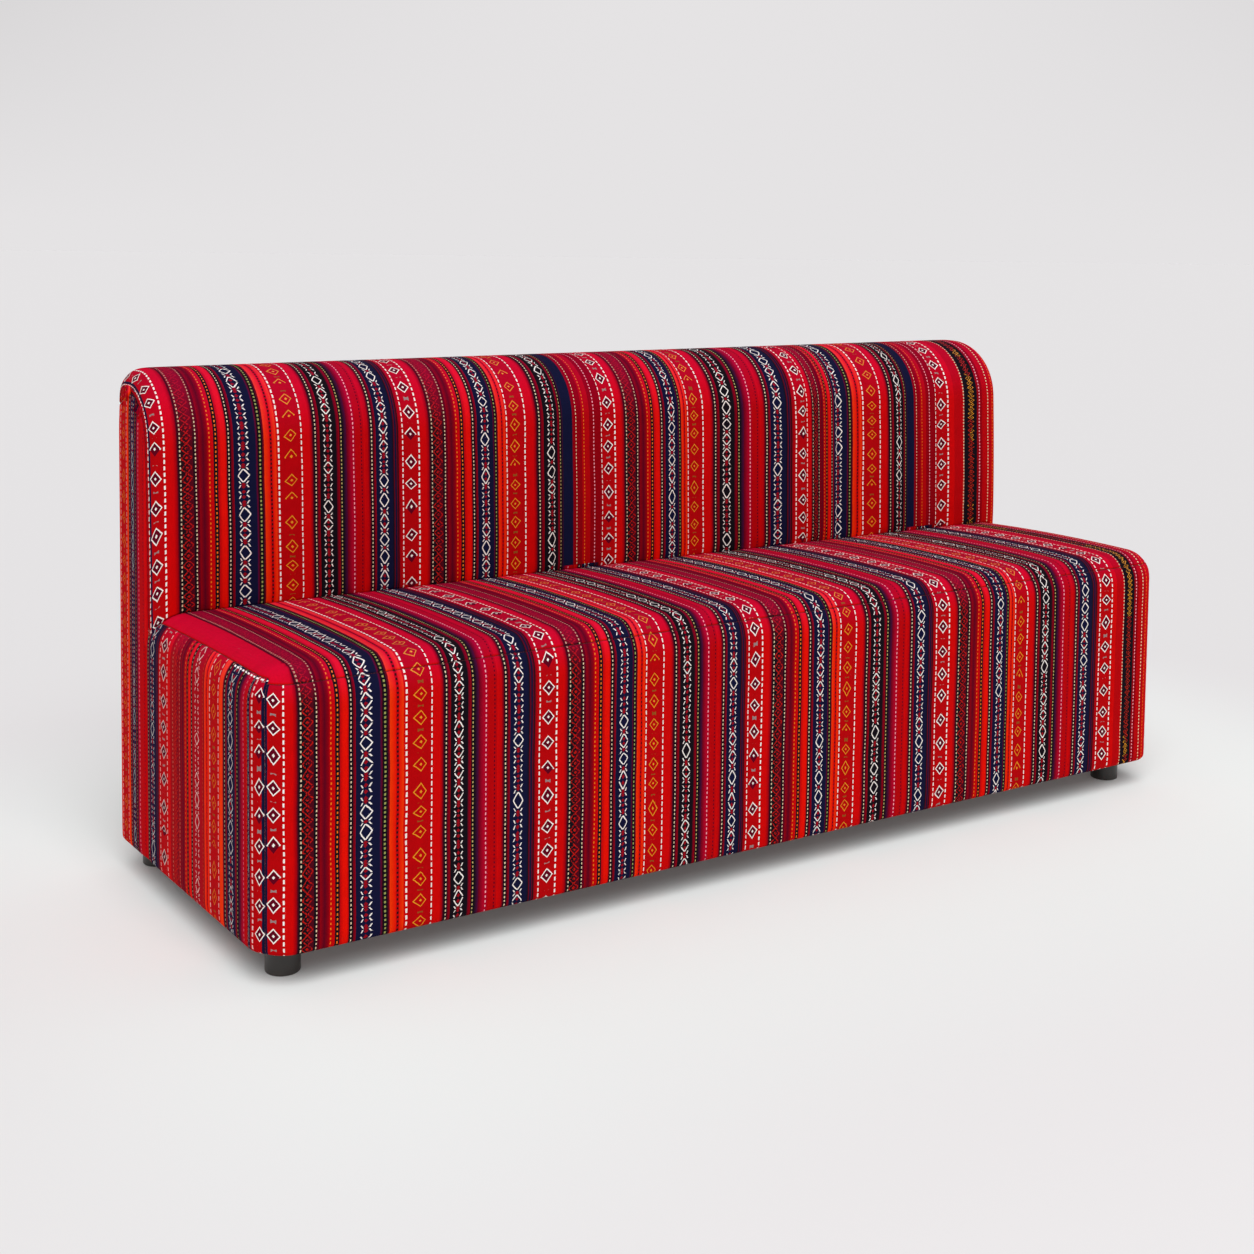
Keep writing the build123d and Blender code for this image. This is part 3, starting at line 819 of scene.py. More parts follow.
# %% Add narrow rows along the seams, and measure how far each point is from them
EDGE_ROWS = (2.8 * MM, 1.5 * MM, 0.5 * MM)
HEM_FLAT = 2 * MM


def is_hem(edge):
    """The hem's edge lies flat under the frame, a little over the covers' lowest plane at most."""
    return all(v.co.z < LOW + HEM_FLAT for v in edge.verts)


def edge_rows(piece):
    bm = bmesh.new()
    bm.from_mesh(piece.data)
    for width in EDGE_ROWS:
        bmesh.ops.inset_region(
            bm,
            faces=bm.faces[:],
            thickness=width,
            use_boundary=True,
            use_even_offset=False,
            use_interpolate=True,
        )
    seams = [e for e in bm.edges if e.is_boundary and not is_hem(e)]
    marks = []
    for e in seams:
        a, b = e.verts[0].co, e.verts[1].co
        count = max(1, int((b - a).length / MM))
        marks += [a.lerp(b, k / count) for k in range(count + 1)]
    tree = KDTree(len(marks))
    for k, p in enumerate(marks):
        tree.insert(p, k)
    tree.balance()
    bm.normal_update()
    gaps, runs, outs, shares = [], [], [], []
    for v in bm.verts:
        nearest, _, gap = tree.find(v.co)
        gaps.append(gap)
        shares.append(FLAT_ROLL / EDGE_ROLL if nearest.y > REAR - REAR_BAND else 1.0)
        runs.append(nearest.x + nearest.y + nearest.z)
        outs += v.normal[:]
    bm.to_mesh(piece.data)
    bm.free()
    mesh = piece.data
    for name, values in (("from_seam", gaps), ("roll_share", shares), ("seam_run", runs)):
        mesh.attributes.new(name, "FLOAT", "POINT").data.foreach_set("value", values)
    mesh.attributes.new("outward", "FLOAT_VECTOR", "POINT").data.foreach_set("vector", outs)
    return array(mesh), np.array(outs).reshape(-1, 3)


# %% Give a panel its thickness, so that it is one closed pad
def back_with(piece, points, outs, thickness):
    """Adds the inner side, thickness under the outer one, and the rim that joins them."""
    bm = bmesh.new()
    bm.from_mesh(piece.data)
    bm.verts.ensure_lookup_table()
    weave = bm.loops.layers.uv["weave"]
    count = len(bm.verts)
    rim = [(e.link_loops[0].vert.index, e.link_loops[0].link_loop_next.vert.index)
           for e in bm.edges if e.is_boundary]
    around = [([v.index for v in f.verts], [loop[weave].uv.copy() for loop in f.loops])
              for f in bm.faces]
    inner = [bm.verts.new(p - n * thickness) for p, n in zip(points, outs)]
    bm.verts.ensure_lookup_table()
    at = {}
    for corners, uvs in around:
        f = bm.faces.new([inner[k] for k in reversed(corners)])
        for loop, uv, k in zip(f.loops, reversed(uvs), reversed(corners)):
            loop[weave].uv = uv
            at[k] = uv
    for a, b in rim:
        f = bm.faces.new((bm.verts[b], bm.verts[a], inner[a], inner[b]))
        for loop, k in zip(f.loops, (b, a, a, b)):
            loop[weave].uv = at[k]
    bm.to_mesh(piece.data)
    bm.free()
    print(piece.name, count, "points on its outer side")


def smooth(piece):
    piece.data.polygons.foreach_set("use_smooth", [True] * len(piece.data.polygons))
    piece.data.update()


# %% [markdown]
# ## The striped cloth
# The stripes are warp-faced weaving: plain bands, dashed and dotted single threads, and figured
# bands of diamonds and chains. A picture of the cloth would be quicker, but it would tie the
# sofa to one size. Here the weaver's own plan is written down: grounds from edge to edge of one
# repeat, threads with their pitch, and figures drawn from sums. All reads the weave UV map.

# %% Dyes
def dye(red, green, blue):
    """A colour as a painter names it, 0 to 255, turned into the light that Blender reckons in."""
    linear = []
    for part in (red, green, blue):
        c = part / 255
        linear.append(c / 12.92 if c <= 0.04045 else ((c + 0.055) / 1.055) ** 2.4)
    return (*linear, 1.0)


SCARLET = dye(200, 6, 6)
FLAME = dye(222, 16, 4)
ORANGE = dye(232, 52, 6)
RED = dye(177, 5, 10)
DEEP_RED = dye(140, 2, 14)
CRIMSON = dye(170, 4, 36)
MAROON = dye(92, 4, 26)
PURPLE = dye(74, 10, 56)
NAVY = dye(18, 20, 50)
INK = dye(20, 15, 22)
CREAM = dye(224, 200, 164)
WHITE = dye(238, 230, 224)
PINK = dye(240, 160, 174)
GOLD = dye(222, 146, 34)
AMBER = dye(232, 116, 22)
YELLOW = dye(190, 170, 104)
GREEN = dye(150, 152, 84)

# %% The plan of one repeat: where each plain ground starts and ends, in millimetres
# Where a ground fades to deep red, maroon, purple or ink beside a dark band, the fade is partly dye
# and partly painted shade: the shade in the hollows between the puffed ribs.
GROUNDS = (
    (-13, -10, RED, RED), (-10, 10, RED, RED), (10, 13, RED, RED),
    (13, 18, RED, SCARLET), (18, 27, SCARLET, SCARLET), (27, 33, SCARLET, DEEP_RED),
    (33, 36, MAROON, INK), (36, 41, INK, INK), (41, 45, INK, INK), (45, 63, INK, INK),
    (63, 67, MAROON, MAROON), (67, 74, DEEP_RED, MAROON), (74, 81, MAROON, DEEP_RED),
    (81, 90, RED, SCARLET), (90, 97, INK, INK), (97, 103, RED, FLAME), (103, 108, FLAME, FLAME),
    (108, 111, FLAME, RED), (111, 118, INK, INK), (118, 122, MAROON, DEEP_RED),
    (122, 153, NAVY, NAVY), (153, 155, PURPLE, MAROON), (155, 161, INK, INK),
    (161, 163, MAROON, MAROON), (163, 170, ORANGE, FLAME), (170, 173, RED, RED),
    (173, 178, FLAME, ORANGE), (178, 184, SCARLET, RED), (184, 187, RED, RED),
    (187, 208, RED, RED), (208, 213, RED, RED), (213, 218, RED, SCARLET),
    (218, 228, SCARLET, SCARLET), (228, 233, SCARLET, DEEP_RED), (233, 236, MAROON, INK),
    (236, 241, INK, INK), (241, 246, MAROON, DEEP_RED), (246, 275, INK, INK),
    (275, 280, MAROON, DEEP_RED), (280, 286, INK, INK), (286, 292, INK, PURPLE),
    (292, 301, MAROON, CRIMSON), (301, 307, CRIMSON, CRIMSON), (307, 314, RED, RED),
    (314, 322, RED, RED), (322, 330, SCARLET, RED), (330, 333, DEEP_RED, MAROON),
    (333, 339, INK, INK), (339, 343, MAROON, DEEP_RED), (343, 371, NAVY, NAVY),
    (371, 375, NAVY, INK), (375, 377, MAROON, MAROON), (377, 380, NAVY, NAVY),
    (380, 382, MAROON, MAROON), (382, 384, INK, INK), (384, 389, DEEP_RED, RED),
    (389, 393, RED, RED),
)
THREADS = (
    (14.5, 2.5, 9.6, 0.6, WHITE), (38.3, 1.9, 6.6, 0.5, CREAM), (62.0, 1.8, 6.2, 0.5, CREAM),
    (83.5, 1.8, 7.0, 0.45, AMBER), (93.5, 2.0, 6.8, 0.5, AMBER), (114.5, 1.9, 6.4, 0.5, CREAM),
    (158.0, 1.9, 6.4, 0.5, GREEN), (171.5, 2.0, 6.4, 0.5, INK), (181.0, 2.0, 9.8, 0.66, WHITE),
    (214.5, 2.0, 9.8, 0.66, WHITE), (238.5, 1.8, 6.4, 0.5, CREAM), (283.0, 1.8, 6.2, 0.5, YELLOW),
    (304.0, 1.9, 7.2, 0.5, PINK), (318.0, 2.0, 6.0, 0.5, MAROON), (336.0, 1.8, 6.4, 0.5, CREAM),
    (391.5, 2.0, 9.2, 0.62, WHITE),
)
PLAN_START = -13.0
SLICES = 8
SLICE = REPEAT / SLICES
EDGE_BLUR = 0.25
LONGEST = 10.0
print("grounds", len(GROUNDS), "threads", len(THREADS))


# %% Turn a plan into colour ramps, one for each slice of the repeat
def blend_colours(a, b, share):
    return tuple(p + (q - p) * share for p, q in zip(a, b))


def ground_at(place):
    for start, end, first, last in GROUNDS:
        if start <= place <= end:
            return blend_colours(first, last, (place - start) / (end - start))
    return GROUNDS[-1][3]


def ground_stops(low, high):
    stops = [(low, ground_at(low + EDGE_BLUR))]
    for start, end, first, last in GROUNDS:
        for place, colour in ((start + EDGE_BLUR, first), (end - EDGE_BLUR, last)):
            if low + EDGE_BLUR < place < high - EDGE_BLUR:
                stops.append((place, colour))
    return stops + [(high, ground_at(high - EDGE_BLUR))]


def thread_stops(low, high, value):
    """Stops of a stepped ramp: value(thread) on a thread, nothing beside it."""
    stops = [(low, (0.0, 0.0, 0.0, 0.0))]
    for thread in THREADS:
        start, end = thread[0] - thread[1] / 2, thread[0] + thread[1] / 2
        if start < high and end > low:
            stops.append((max(start, low), value(thread)))
            stops.append((min(end, high), (0.0, 0.0, 0.0, 0.0)))
    return stops


class Weave(Graph):
    """A Graph with the few sums that patterns need."""

    def ramp(self, place, low, high, stops, kind="LINEAR"):
        colour = self.tree.nodes.new("ShaderNodeValToRGB")
        band = colour.color_ramp
        band.interpolation = kind
        while len(band.elements) < len(stops):
            band.elements.new(1.0)
        for element, (at, value) in zip(band.elements, stops):
            element.position = (at - low) / (high - low)
            element.color = value
        self.put(colour.inputs[0], self.over(self.minus(place, low), high - low))
        return colour.outputs

    def less(self, a, b):
        return self.math("LESS_THAN", a, b)

    def near(self, value, middle, reach):
        """1 where value is within reach of the middle."""
        return self.less(self.size(self.minus(value, middle)), reach)

    def both(self, *masks):
        share = masks[0]
        for mask in masks[1:]:
            share = self.times(share, mask)
        return share

    def either(self, a, b):
        return self.math("MAXIMUM", a, b)

    def opposite(self, mask):
        return self.minus(1.0, mask)

    def jitter(self, value, noise, width):
        """Moves a value to both sides by a noise of 0 to 1."""
        return self.plus(value, self.times(self.minus(noise, 0.5), width))

    def chance(self, cell, seed):
        """A random number from 0 to 1 that stays the same all over one cell."""
        return self.node(
            "ShaderNodeTexWhiteNoise", None, self.plus(cell, seed), noise_dimensions="1D"
        )

    def noise(self, vector, scale, detail=2.0):
        return self.node("ShaderNodeTexNoise", vector, None, scale, detail)

    def easing(self, value, start, end, low, high):
        """Takes a value from low at start to high at end, softly at both."""
        return self.node(
            "ShaderNodeMapRange", value, start, end, low, high, interpolation_type="SMOOTHSTEP"
        )

    def relief(self, shader, height, strength, depth):
        """Bump of a depth in metres from a height of 0 to 1."""
        bump = self.tree.nodes.new("ShaderNodeBump")
        bump.inputs["Strength"].default_value = strength
        bump.inputs["Distance"].default_value = depth
        self.put(bump.inputs["Height"], height)
        self.put(shader.inputs["Normal"], bump.outputs[0])


# %% Figures: single diamonds
DIAMOND_DRIFT = 5.0
DIAMOND_DOT = 0.24
TIE_SLOPE, TIE_WAIST, TIE_HALF = 0.4, 0.3, 0.45
TIES_MISSING = 0.38
TIE_SEED = 7.3


def cell_of(g, along, pitch):
    """Cuts a band's length into cells: the cell's number, and the place in it from its middle."""
    cells = g.over(along, pitch)
    return g.math("FLOOR", cells), g.times(g.minus(g.fract(cells), 0.5), pitch)


def rhomb(g, across, along, half_width, half_height):
    """0 in the middle of a diamond and 1 on its outline."""
    return g.plus(g.over(g.size(across), half_width), g.over(g.size(along), half_height))


def diamonds(g, across, along, pitch, half_width, half_height, stroke, seed, wear):
    """A band of single diamonds with a dot in them and a small bow tie between."""
    number, place = cell_of(g, along, pitch)
    luck = g.chance(number, seed)
    place = g.jitter(place, luck, DIAMOND_DRIFT)
    reach = rhomb(g, across, place, half_width, half_height)
    broken = g.both(g.less(luck, wear), g.less(place, -1.0))
    line = g.both(g.near(reach, 1.0, stroke), g.opposite(broken))
    wide = g.size(across)
    far = g.minus(pitch / 2, g.size(place))
    tie = g.less(far, g.plus(g.times(wide, TIE_SLOPE), TIE_WAIST))
    kept = g.less(TIES_MISSING, g.chance(number, g.plus(seed, TIE_SEED)))
    tie = g.both(tie, g.less(wide, half_width * TIE_HALF), kept)
    return line, g.less(reach, DIAMOND_DOT), g.less(reach, 1.0), tie


# %% Figures: chains of rings and crosses, and a lattice
CROSS_FOOT, CROSS_SLANT, CROSS_STROKE = 3.5, 0.6, 0.95
CROSS_START, CROSS_END = 1.2, 5.4
RING_TIP, RING_SHORT, RING_SPREAD = 0.36, 0.86, 0.2
RING_BOW, RING_POINT = 1.02, 1.25
RING_STROKE, RING_LEAN = 0.9, 0.35
RING_PINCH, PINCHED = 1.0, 0.66
RINGS_MISSING = 0.36
RING_SEED = 3.7
HEART, ROW_HEART, ROWS = 3.4, 3.0, 0.7
LATTICE_STROKE, LATTICE_HEART = 0.17, 0.36


def crossed(g, wide, tall):
    """Four slanted strokes that leave the middle of a cross open for a heart."""
    slant = g.plus(CROSS_FOOT, g.times(tall, CROSS_SLANT))
    inside = g.both(g.less(CROSS_START, tall), g.less(tall, CROSS_END))
    return g.both(g.near(wide, slant, CROSS_STROKE), inside)


def chain(g, across, along, pitch, half_width, seed):
    """Pointed rings between crosses; here and there a cross takes the place of a ring."""
    number, place = cell_of(g, along, pitch)
    luck = g.chance(number, seed)
    other = g.chance(number, g.plus(seed, RING_SEED))
    wide, tall = g.size(across), g.size(place)
    tip = g.times(pitch * RING_TIP, g.plus(RING_SHORT, g.times(other, RING_SPREAD)))
    share = g.over(tall, tip)
    bow = g.times(g.minus(RING_BOW, g.math("POWER", share, RING_POINT)), half_width)
    ring = g.near(wide, bow, g.plus(RING_STROKE, g.times(share, RING_LEAN)))
    pinch = g.both(g.less(tall, RING_PINCH), g.less(luck, PINCHED))
    ring = g.both(ring, g.less(tall, tip), g.opposite(pinch))
    shut = g.less(RINGS_MISSING, luck)
    line = g.plus(g.both(shut, ring), g.both(g.opposite(shut), crossed(g, wide, tall)))
    knot = g.minus(pitch / 2, tall)
    line = g.either(line, crossed(g, wide, knot))
    heart = g.less(g.plus(wide, knot), HEART)
    _, beat = cell_of(g, along, pitch / 4)
    row = g.both(g.less(g.plus(wide, g.size(beat)), ROW_HEART), g.less(luck, ROWS))
    return line, g.either(heart, row)


def lattice(g, across, along, pitch, half_width):
    """Small diamonds set corner to corner, each with a filled heart."""
    _, place = cell_of(g, along, pitch)
    reach = rhomb(g, across, place, half_width, pitch / 2)
    return g.either(g.near(reach, 1.0, LATTICE_STROKE), g.less(reach, LATTICE_HEART))


# %% The weaver's view of a point: where it lies in the cloth, in millimetres
SLOW_WAVES, FINE_WAVES, ROW_WAVES = 9.0, 190.0, 11.0
BAND_DRIFT, EDGE_FRAY, ROW_FRAY, ROW_DRIFT = 3.0, 0.9, 1.2, 26.0
FINE_PITCH, FINE_THREAD = 6.4, 1.0
REPEATS_BEFORE = 20
CATCHES_LIGHT = 1.1


class Cloth(Weave):
    """Keeps a point's place in the cloth, and the colour that is woven there so far."""

    def __init__(self, tree):
        super().__init__(tree)
        self.uv = self.node("ShaderNodeUVMap")
        self.uv.node.uv_map = "weave"
        split = self.node("ShaderNodeSeparateXYZ", self.uv).node.outputs
        self.fine = self.noise(self.uv, FINE_WAVES, 2.0)
        across = self.times(split[0], 1 / MM)
        across = self.jitter(across, self.noise(self.uv, SLOW_WAVES, 1.0), BAND_DRIFT)
        self.across = self.jitter(across, self.fine, EDGE_FRAY)
        self.along = self.jitter(self.times(split[1], 1 / MM), self.fine, ROW_FRAY)
        self.wander = self.noise(self.uv, ROW_WAVES, 1.0)
        self.uneven = self.jitter(self.along, self.wander, ROW_DRIFT)
        ahead = REPEATS_BEFORE * REPEAT - PLAN_START
        wrapped = self.math("MODULO", self.plus(self.across, ahead), REPEAT)
        self.place = self.plus(wrapped, PLAN_START)
        self.number = self.math("FLOOR", self.over(self.minus(self.across, PLAN_START), REPEAT))
        self.spot = self.node(
            "ShaderNodeSeparateXYZ", self.node("ShaderNodeTexCoord", out=3)
        ).node.outputs
        # How much a face looks up; this drives the painted sheen on the top faces.
        facing = self.node("ShaderNodeNewGeometry", out=1)
        upward = self.node("ShaderNodeSeparateXYZ", facing, out=2)
        self.upward = self.node("ShaderNodeClamp", self.times(upward, CATCHES_LIGHT))
        self.colour = None

    def band(self, low, high):
        return self.both(self.less(low, self.place), self.less(self.place, high))

    def paint(self, colour, *masks):
        self.colour = self.mix(self.both(*masks), self.colour, colour)

    def dashes(self, centre, colour, where):
        """A single broken thread."""
        dash = self.less(self.fract(self.over(self.along, FINE_PITCH)), 0.5)
        self.paint(colour, self.near(self.place, centre, FINE_THREAD), dash, where)


# %% Grounds and threads, one slice of the repeat after another
def weave_plan(g):
    """Weaves the threads on their grounds. A ramp's colour also carries a thread's pitch, as a
    share of the longest, and how much of the pitch is thread."""
    parts, on = None, None
    for k in range(SLICES):
        low = PLAN_START + k * SLICE
        high = low + SLICE
        ground = g.ramp(g.place, low, high, ground_stops(low, high))[0]
        hues = thread_stops(low, high, lambda t: t[4])
        beats = thread_stops(low, high, lambda t: (t[2] / LONGEST, t[3], 0.0, 1.0))
        hue = g.ramp(g.place, low, high, hues, "CONSTANT")
        beat = g.ramp(g.place, low, high, beats, "CONSTANT")[0]
        if parts is None:
            parts, on = (ground, hue[0], beat), hue[1]
        else:
            here = g.less(low, g.place)
            parts = [g.mix(here, a, b) for a, b in zip(parts, (ground, hue[0], beat))]
            on = g.plus(g.both(here, hue[1]), g.both(g.opposite(here), on))
    ground, thread, beat = parts
    beat = g.node("ShaderNodeSeparateColor", beat).node.outputs
    length = g.math("MAXIMUM", g.times(beat[0], LONGEST), 1.0)
    stitch = g.less(g.fract(g.over(g.along, length)), beat[1])
    g.colour = g.mix(g.both(stitch, on, g.strength), ground, thread)


# %% Where the weaver changed the plan: the end panels, the first repeat and the right-hand end
END_CLOTH, LAST_CLOTH = 5.5, 8.5
# The first number dims the threads on the end panels; the second lightens the end panels' whole
# colour, which is painted light on those faces.
QUIET_FADE, END_PANEL_PAINTED_LIGHT = 0.45, 0.14
CHANGES = (
    ("ends", 219.0, 231.0, 1.0, ORANGE), ("ends", 246.0, 275.0, 1.0, NAVY),
    ("ends", 33.0, 64.0, 0.7, RED), ("ends", 118.0, 161.0, 0.85, RED),
    ("first", -14.0, -9.0, 1.0, NAVY), ("last", 5.0, 15.0, 1.0, NAVY),
)
LATE_CHANGES = (
    ("single", 290.0, 318.0, NAVY), ("single", 318.0, 391.0, DEEP_RED),
    ("single", 344.0, 364.0, RED), ("final", 27.0, 47.0, RED), ("final", 47.0, 73.0, INK),
    ("final", 73.0, 84.0, DEEP_RED), ("final", 84.0, 165.0, RED), ("final", 104.0, 165.0, SCARLET),
)
LATE_DASHES = (
    ("single", 328.0, CREAM), ("single", 350.0, AMBER), ("single", 374.0, PINK),
    ("final", 46.0, CREAM), ("final", 78.0, PINK), ("final", 96.0, CREAM), ("final", 107.0, AMBER),
)


def find_masks(g):
    """Masks by name; single marks the repeats whose second chain the backrest lacks."""
    ends, last = g.less(END_CLOTH, g.number), g.less(LAST_CLOTH, g.number)
    raised = g.less(SEAT_TOP + 3 * MM, g.spot[2])
    odd = g.near(g.size(g.minus(g.number, 2.0)), 1.0, 0.5)
    g.masks = {
        "ends": ends, "last": last, "first": g.less(g.number, 0.5),
        "single": g.both(raised, odd), "final": g.near(g.number, 4.0, 0.5),
    }
    g.quiet = g.both(ends, g.opposite(last))
    g.strength = g.opposite(g.times(g.quiet, QUIET_FADE))


# %% Figured bands: where each runs, and how large its figures are
NET = (48.5, 8.5, 15.0, 8.5)
FINAL_NET = (61.0, 10.0, 9.0, 5.5)
NET_RED, NET_RUST = dye(182, 22, 14), dye(190, 40, 16)
HEART_RED = dye(142, 14, 26)
CHAINS = ((137.0, 11.0), (260.0, 37.0), (357.0, 71.0))
CHAIN_PITCH, CHAIN_HALF, CHAIN_BAND = 31.0, 7.4, 10.4
DIAMOND_BAND = 11.0
DIAMONDS = (
    (0.0, 9.6, 10.5, 0.115, 41.0, 5.0, WHITE, MAROON),
    (197.0, 8.4, 9.6, 0.095, 33.0, 91.0, GOLD, RED),
)
CHAIN_SEEDS, DIAMOND_SEEDS = 113.0, 57.0
WEAR, END_WEAR = 0.13, 0.42
SPECK_SCALE, SPECKS = 420.0, 0.46
NET_GROUND, NET_GROUND_SHARE = (50.0, 58.0), 0.6
# The dark net band turns crimson where the cloth faces up: painted sheen of the light from above.
NET_SHEEN_BAND, NET_SHEEN_SHARE = (36.0, 63.0), 0.55
TIE_SHARE = 0.75
CORNER_DASHES, CORNER_REACH = 38.2, 130 * MM
CORNER_PITCH, CORNER_DASH, CORNER_THREAD = 9.6 * MM, 0.6, 1.3


def net_mask(g, speck, centre, reach, pitch, half_width):
    net = lattice(g, g.minus(g.place, centre), g.uneven, pitch, half_width)
    return g.both(g.near(g.place, centre, reach), net, speck)


def weave_figures(g):
    for where, low, high, share, colour in CHANGES:
        g.paint(colour, g.masks[where], g.band(low, high), share)
    speck = g.less(SPECKS, g.noise(g.uv, SPECK_SCALE, 1.0))
    g.paint(MAROON, g.band(*NET_GROUND), NET_GROUND_SHARE)
    g.paint(NET_RED, net_mask(g, speck, *NET))
    # Painted sheen: crimson over the net band on faces that look up.
    g.paint(CRIMSON, g.band(*NET_SHEEN_BAND), g.times(g.upward, NET_SHEEN_SHARE))
    for centre, seed in CHAINS:
        row_seed = g.plus(g.times(g.number, CHAIN_SEEDS), seed)
        line, heart = chain(
            g, g.minus(g.place, centre), g.uneven, CHAIN_PITCH, CHAIN_HALF, row_seed
        )
        near = g.near(g.place, centre, CHAIN_BAND)
        g.paint(HEART_RED, near, heart)
        g.paint(WHITE, near, line, g.strength)
    for where, low, high, colour in LATE_CHANGES:
        g.paint(colour, g.masks[where], g.band(low, high))
    for where, centre, colour in LATE_DASHES:
        g.dashes(centre, colour, g.masks[where])
    warm = g.mix(g.less(0.5, g.wander), NET_RUST, GOLD)
    g.paint(warm, g.masks["final"], net_mask(g, speck, *FINAL_NET))
    wear = g.plus(WEAR, g.times(g.masks["last"], END_WEAR))
    for centre, half, tall, stroke, pitch, seed, outline_dye, inside_dye in DIAMONDS:
        row_seed = g.plus(g.times(g.number, DIAMOND_SEEDS), seed)
        line, dot, inside, tie = diamonds(
            g, g.minus(g.place, centre), g.uneven, pitch, half, tall, stroke, row_seed, wear
        )
        near = g.near(g.place, centre, DIAMOND_BAND)
        g.paint(inside_dye, near, inside)
        g.paint(blend_colours(outline_dye, MAROON, TIE_SHARE), near, tie)
        g.paint(outline_dye, near, g.either(line, dot), g.strength)


def weave_corner(g):
    """A broken white thread beside the left end's top seam, near its front corner."""
    near_corner = g.both(g.less(g.spot[1], FRONT + CORNER_REACH), g.less(g.spot[0], 0.0))
    dash = g.less(g.fract(g.over(g.spot[1], CORNER_PITCH)), CORNER_DASH)
    line = g.near(g.along, -CORNER_DASHES, CORNER_THREAD)
    g.paint(WHITE, g.masks["ends"], near_corner, line, dash)


# %% The cloth's surface: knit and slubs, painted light on top and end faces, a soft sheen, hardly any gloss
UPWARD_PAINTED_SHEEN = 0.042
WARP_PITCH, WEFT_PITCH = 1.3, 1.15
SLUB_SCALE = 60.0
DARKEST, SLUB_SHADE, KNIT_SHADE = 0.9, 0.2, 0.05
SMOOTHEST, ROUGHER = 0.78, 0.12


def finish_cloth(g):
    redness = g.node("ShaderNodeSeparateColor", g.colour)
    # Painted sheen: faces that look up get extra blue in proportion to their red, so the lit tops
    # read crimson.
    painted_sheen = g.node("ShaderNodeCombineColor", 0.0, 0.0, g.times(g.times(redness, g.upward), UPWARD_PAINTED_SHEEN))
    colour = g.vector("ADD", g.colour, painted_sheen)
    shader = g.node("ShaderNodeBsdfPrincipled").node
    cover = g.tree.nodes.new("ShaderNodeOutputMaterial")
    g.put(cover.inputs["Surface"], shader.outputs[0])
    knit = g.both(
        g.math("SINE", g.times(g.along, 2 * math.pi / WEFT_PITCH)),
        g.math("SINE", g.times(g.across, 2 * math.pi / WARP_PITCH)),
    )
    slub = g.noise(g.uv, SLUB_SCALE, 3.0)
    shade = g.plus(g.plus(DARKEST, g.times(slub, SLUB_SHADE)), g.times(knit, KNIT_SHADE))
    # Painted light: the end panels' colour is lightened as a whole.
    shade = g.times(shade, g.plus(1.0, g.times(g.quiet, END_PANEL_PAINTED_LIGHT)))
    tint = g.vector("SCALE", colour)
    g.put(tint.node.inputs["Scale"], shade)
    g.put(shader.inputs["Base Color"], tint)
    g.put(shader.inputs["Roughness"], g.plus(SMOOTHEST, g.times(g.fine, ROUGHER)))
    shader.inputs["Sheen Weight"].default_value = 0.025
    shader.inputs["Sheen Roughness"].default_value = 0.3
    shader.inputs["Sheen Tint"].default_value = (0.9, 0.06, 0.26, 1.0)
    shader.inputs["Specular IOR Level"].default_value = 0.02
    g.relief(shader, g.plus(g.times(knit, 0.5), slub), 0.5, 0.6 * MM)


# %% Weave the whole cloth as one material
def striped_cloth():
    material = bpy.data.materials.new("handwoven_stripe")
    material.use_nodes = True
    material.node_tree.nodes.clear()
    g = Cloth(material.node_tree)
    find_masks(g)
    weave_plan(g)
    weave_figures(g)
    weave_corner(g)
    finish_cloth(g)
    return material


stripes = striped_cloth()
print("striped cloth made of", len(stripes.node_tree.nodes), "nodes")

# %% Make the panels
PANELS = (
    ("seat_front", seat, SEAT_FRONT, 14 * MM, ("seat_front_cover", "seat_front_pad")),
    ("seat_left", seat, SEAT_LEFT, 12 * MM, ("seat_left_cover", "seat_left_pad")),
    ("seat_right", seat, SEAT_RIGHT, 12 * MM, ("seat_right_cover", "seat_right_pad")),
    ("seat_top", seat, SEAT_UPPER, 24 * MM, ("seat_top_cover", "seat_foam")),
    ("back_front", back, BACK_FRONT, 14 * MM, ("back_front_cover", "back_foam")),
    ("back_left", back, BACK_LEFT, 12 * MM, ("back_left_cover", "back_left_pad")),
    ("back_right", back, BACK_RIGHT, 12 * MM, ("back_right_cover", "back_right_pad")),
    ("back_rear", back, BACK_REAR, 1.2 * MM, ("back_rear_cover",)),
)
for name, form, number, thickness, stands_for in PANELS:
    piece = cut_panel(form, number, name)
    points, outs = edge_rows(piece)
    grow(piece, edge_roll, material=stripes)
    back_with(piece, points, outs, thickness)
    smooth(piece)
    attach(piece, "root")
    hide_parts(*stands_for)

# %% [markdown]
# ## The thread in the seams
# Down in each groove the sewing thread bridges the two panels. Thousands of stitches by hand
# would be dull work, so a Geometry Nodes tree walks the seam lines and sets one small stitch
# at every pitch, turned along the seam.

# %% Stitches: one small dark thread at every pitch of a seam
STITCH_PITCH = 4.2 * MM
STITCH_LENGTH = 3.0 * MM
THREAD = 0.35 * MM
STITCH_DEPTH = 1.5 * MM
STITCH_SIDES = 6
STITCH_SMALLEST, STITCH_LARGEST = 0.85, 1.15


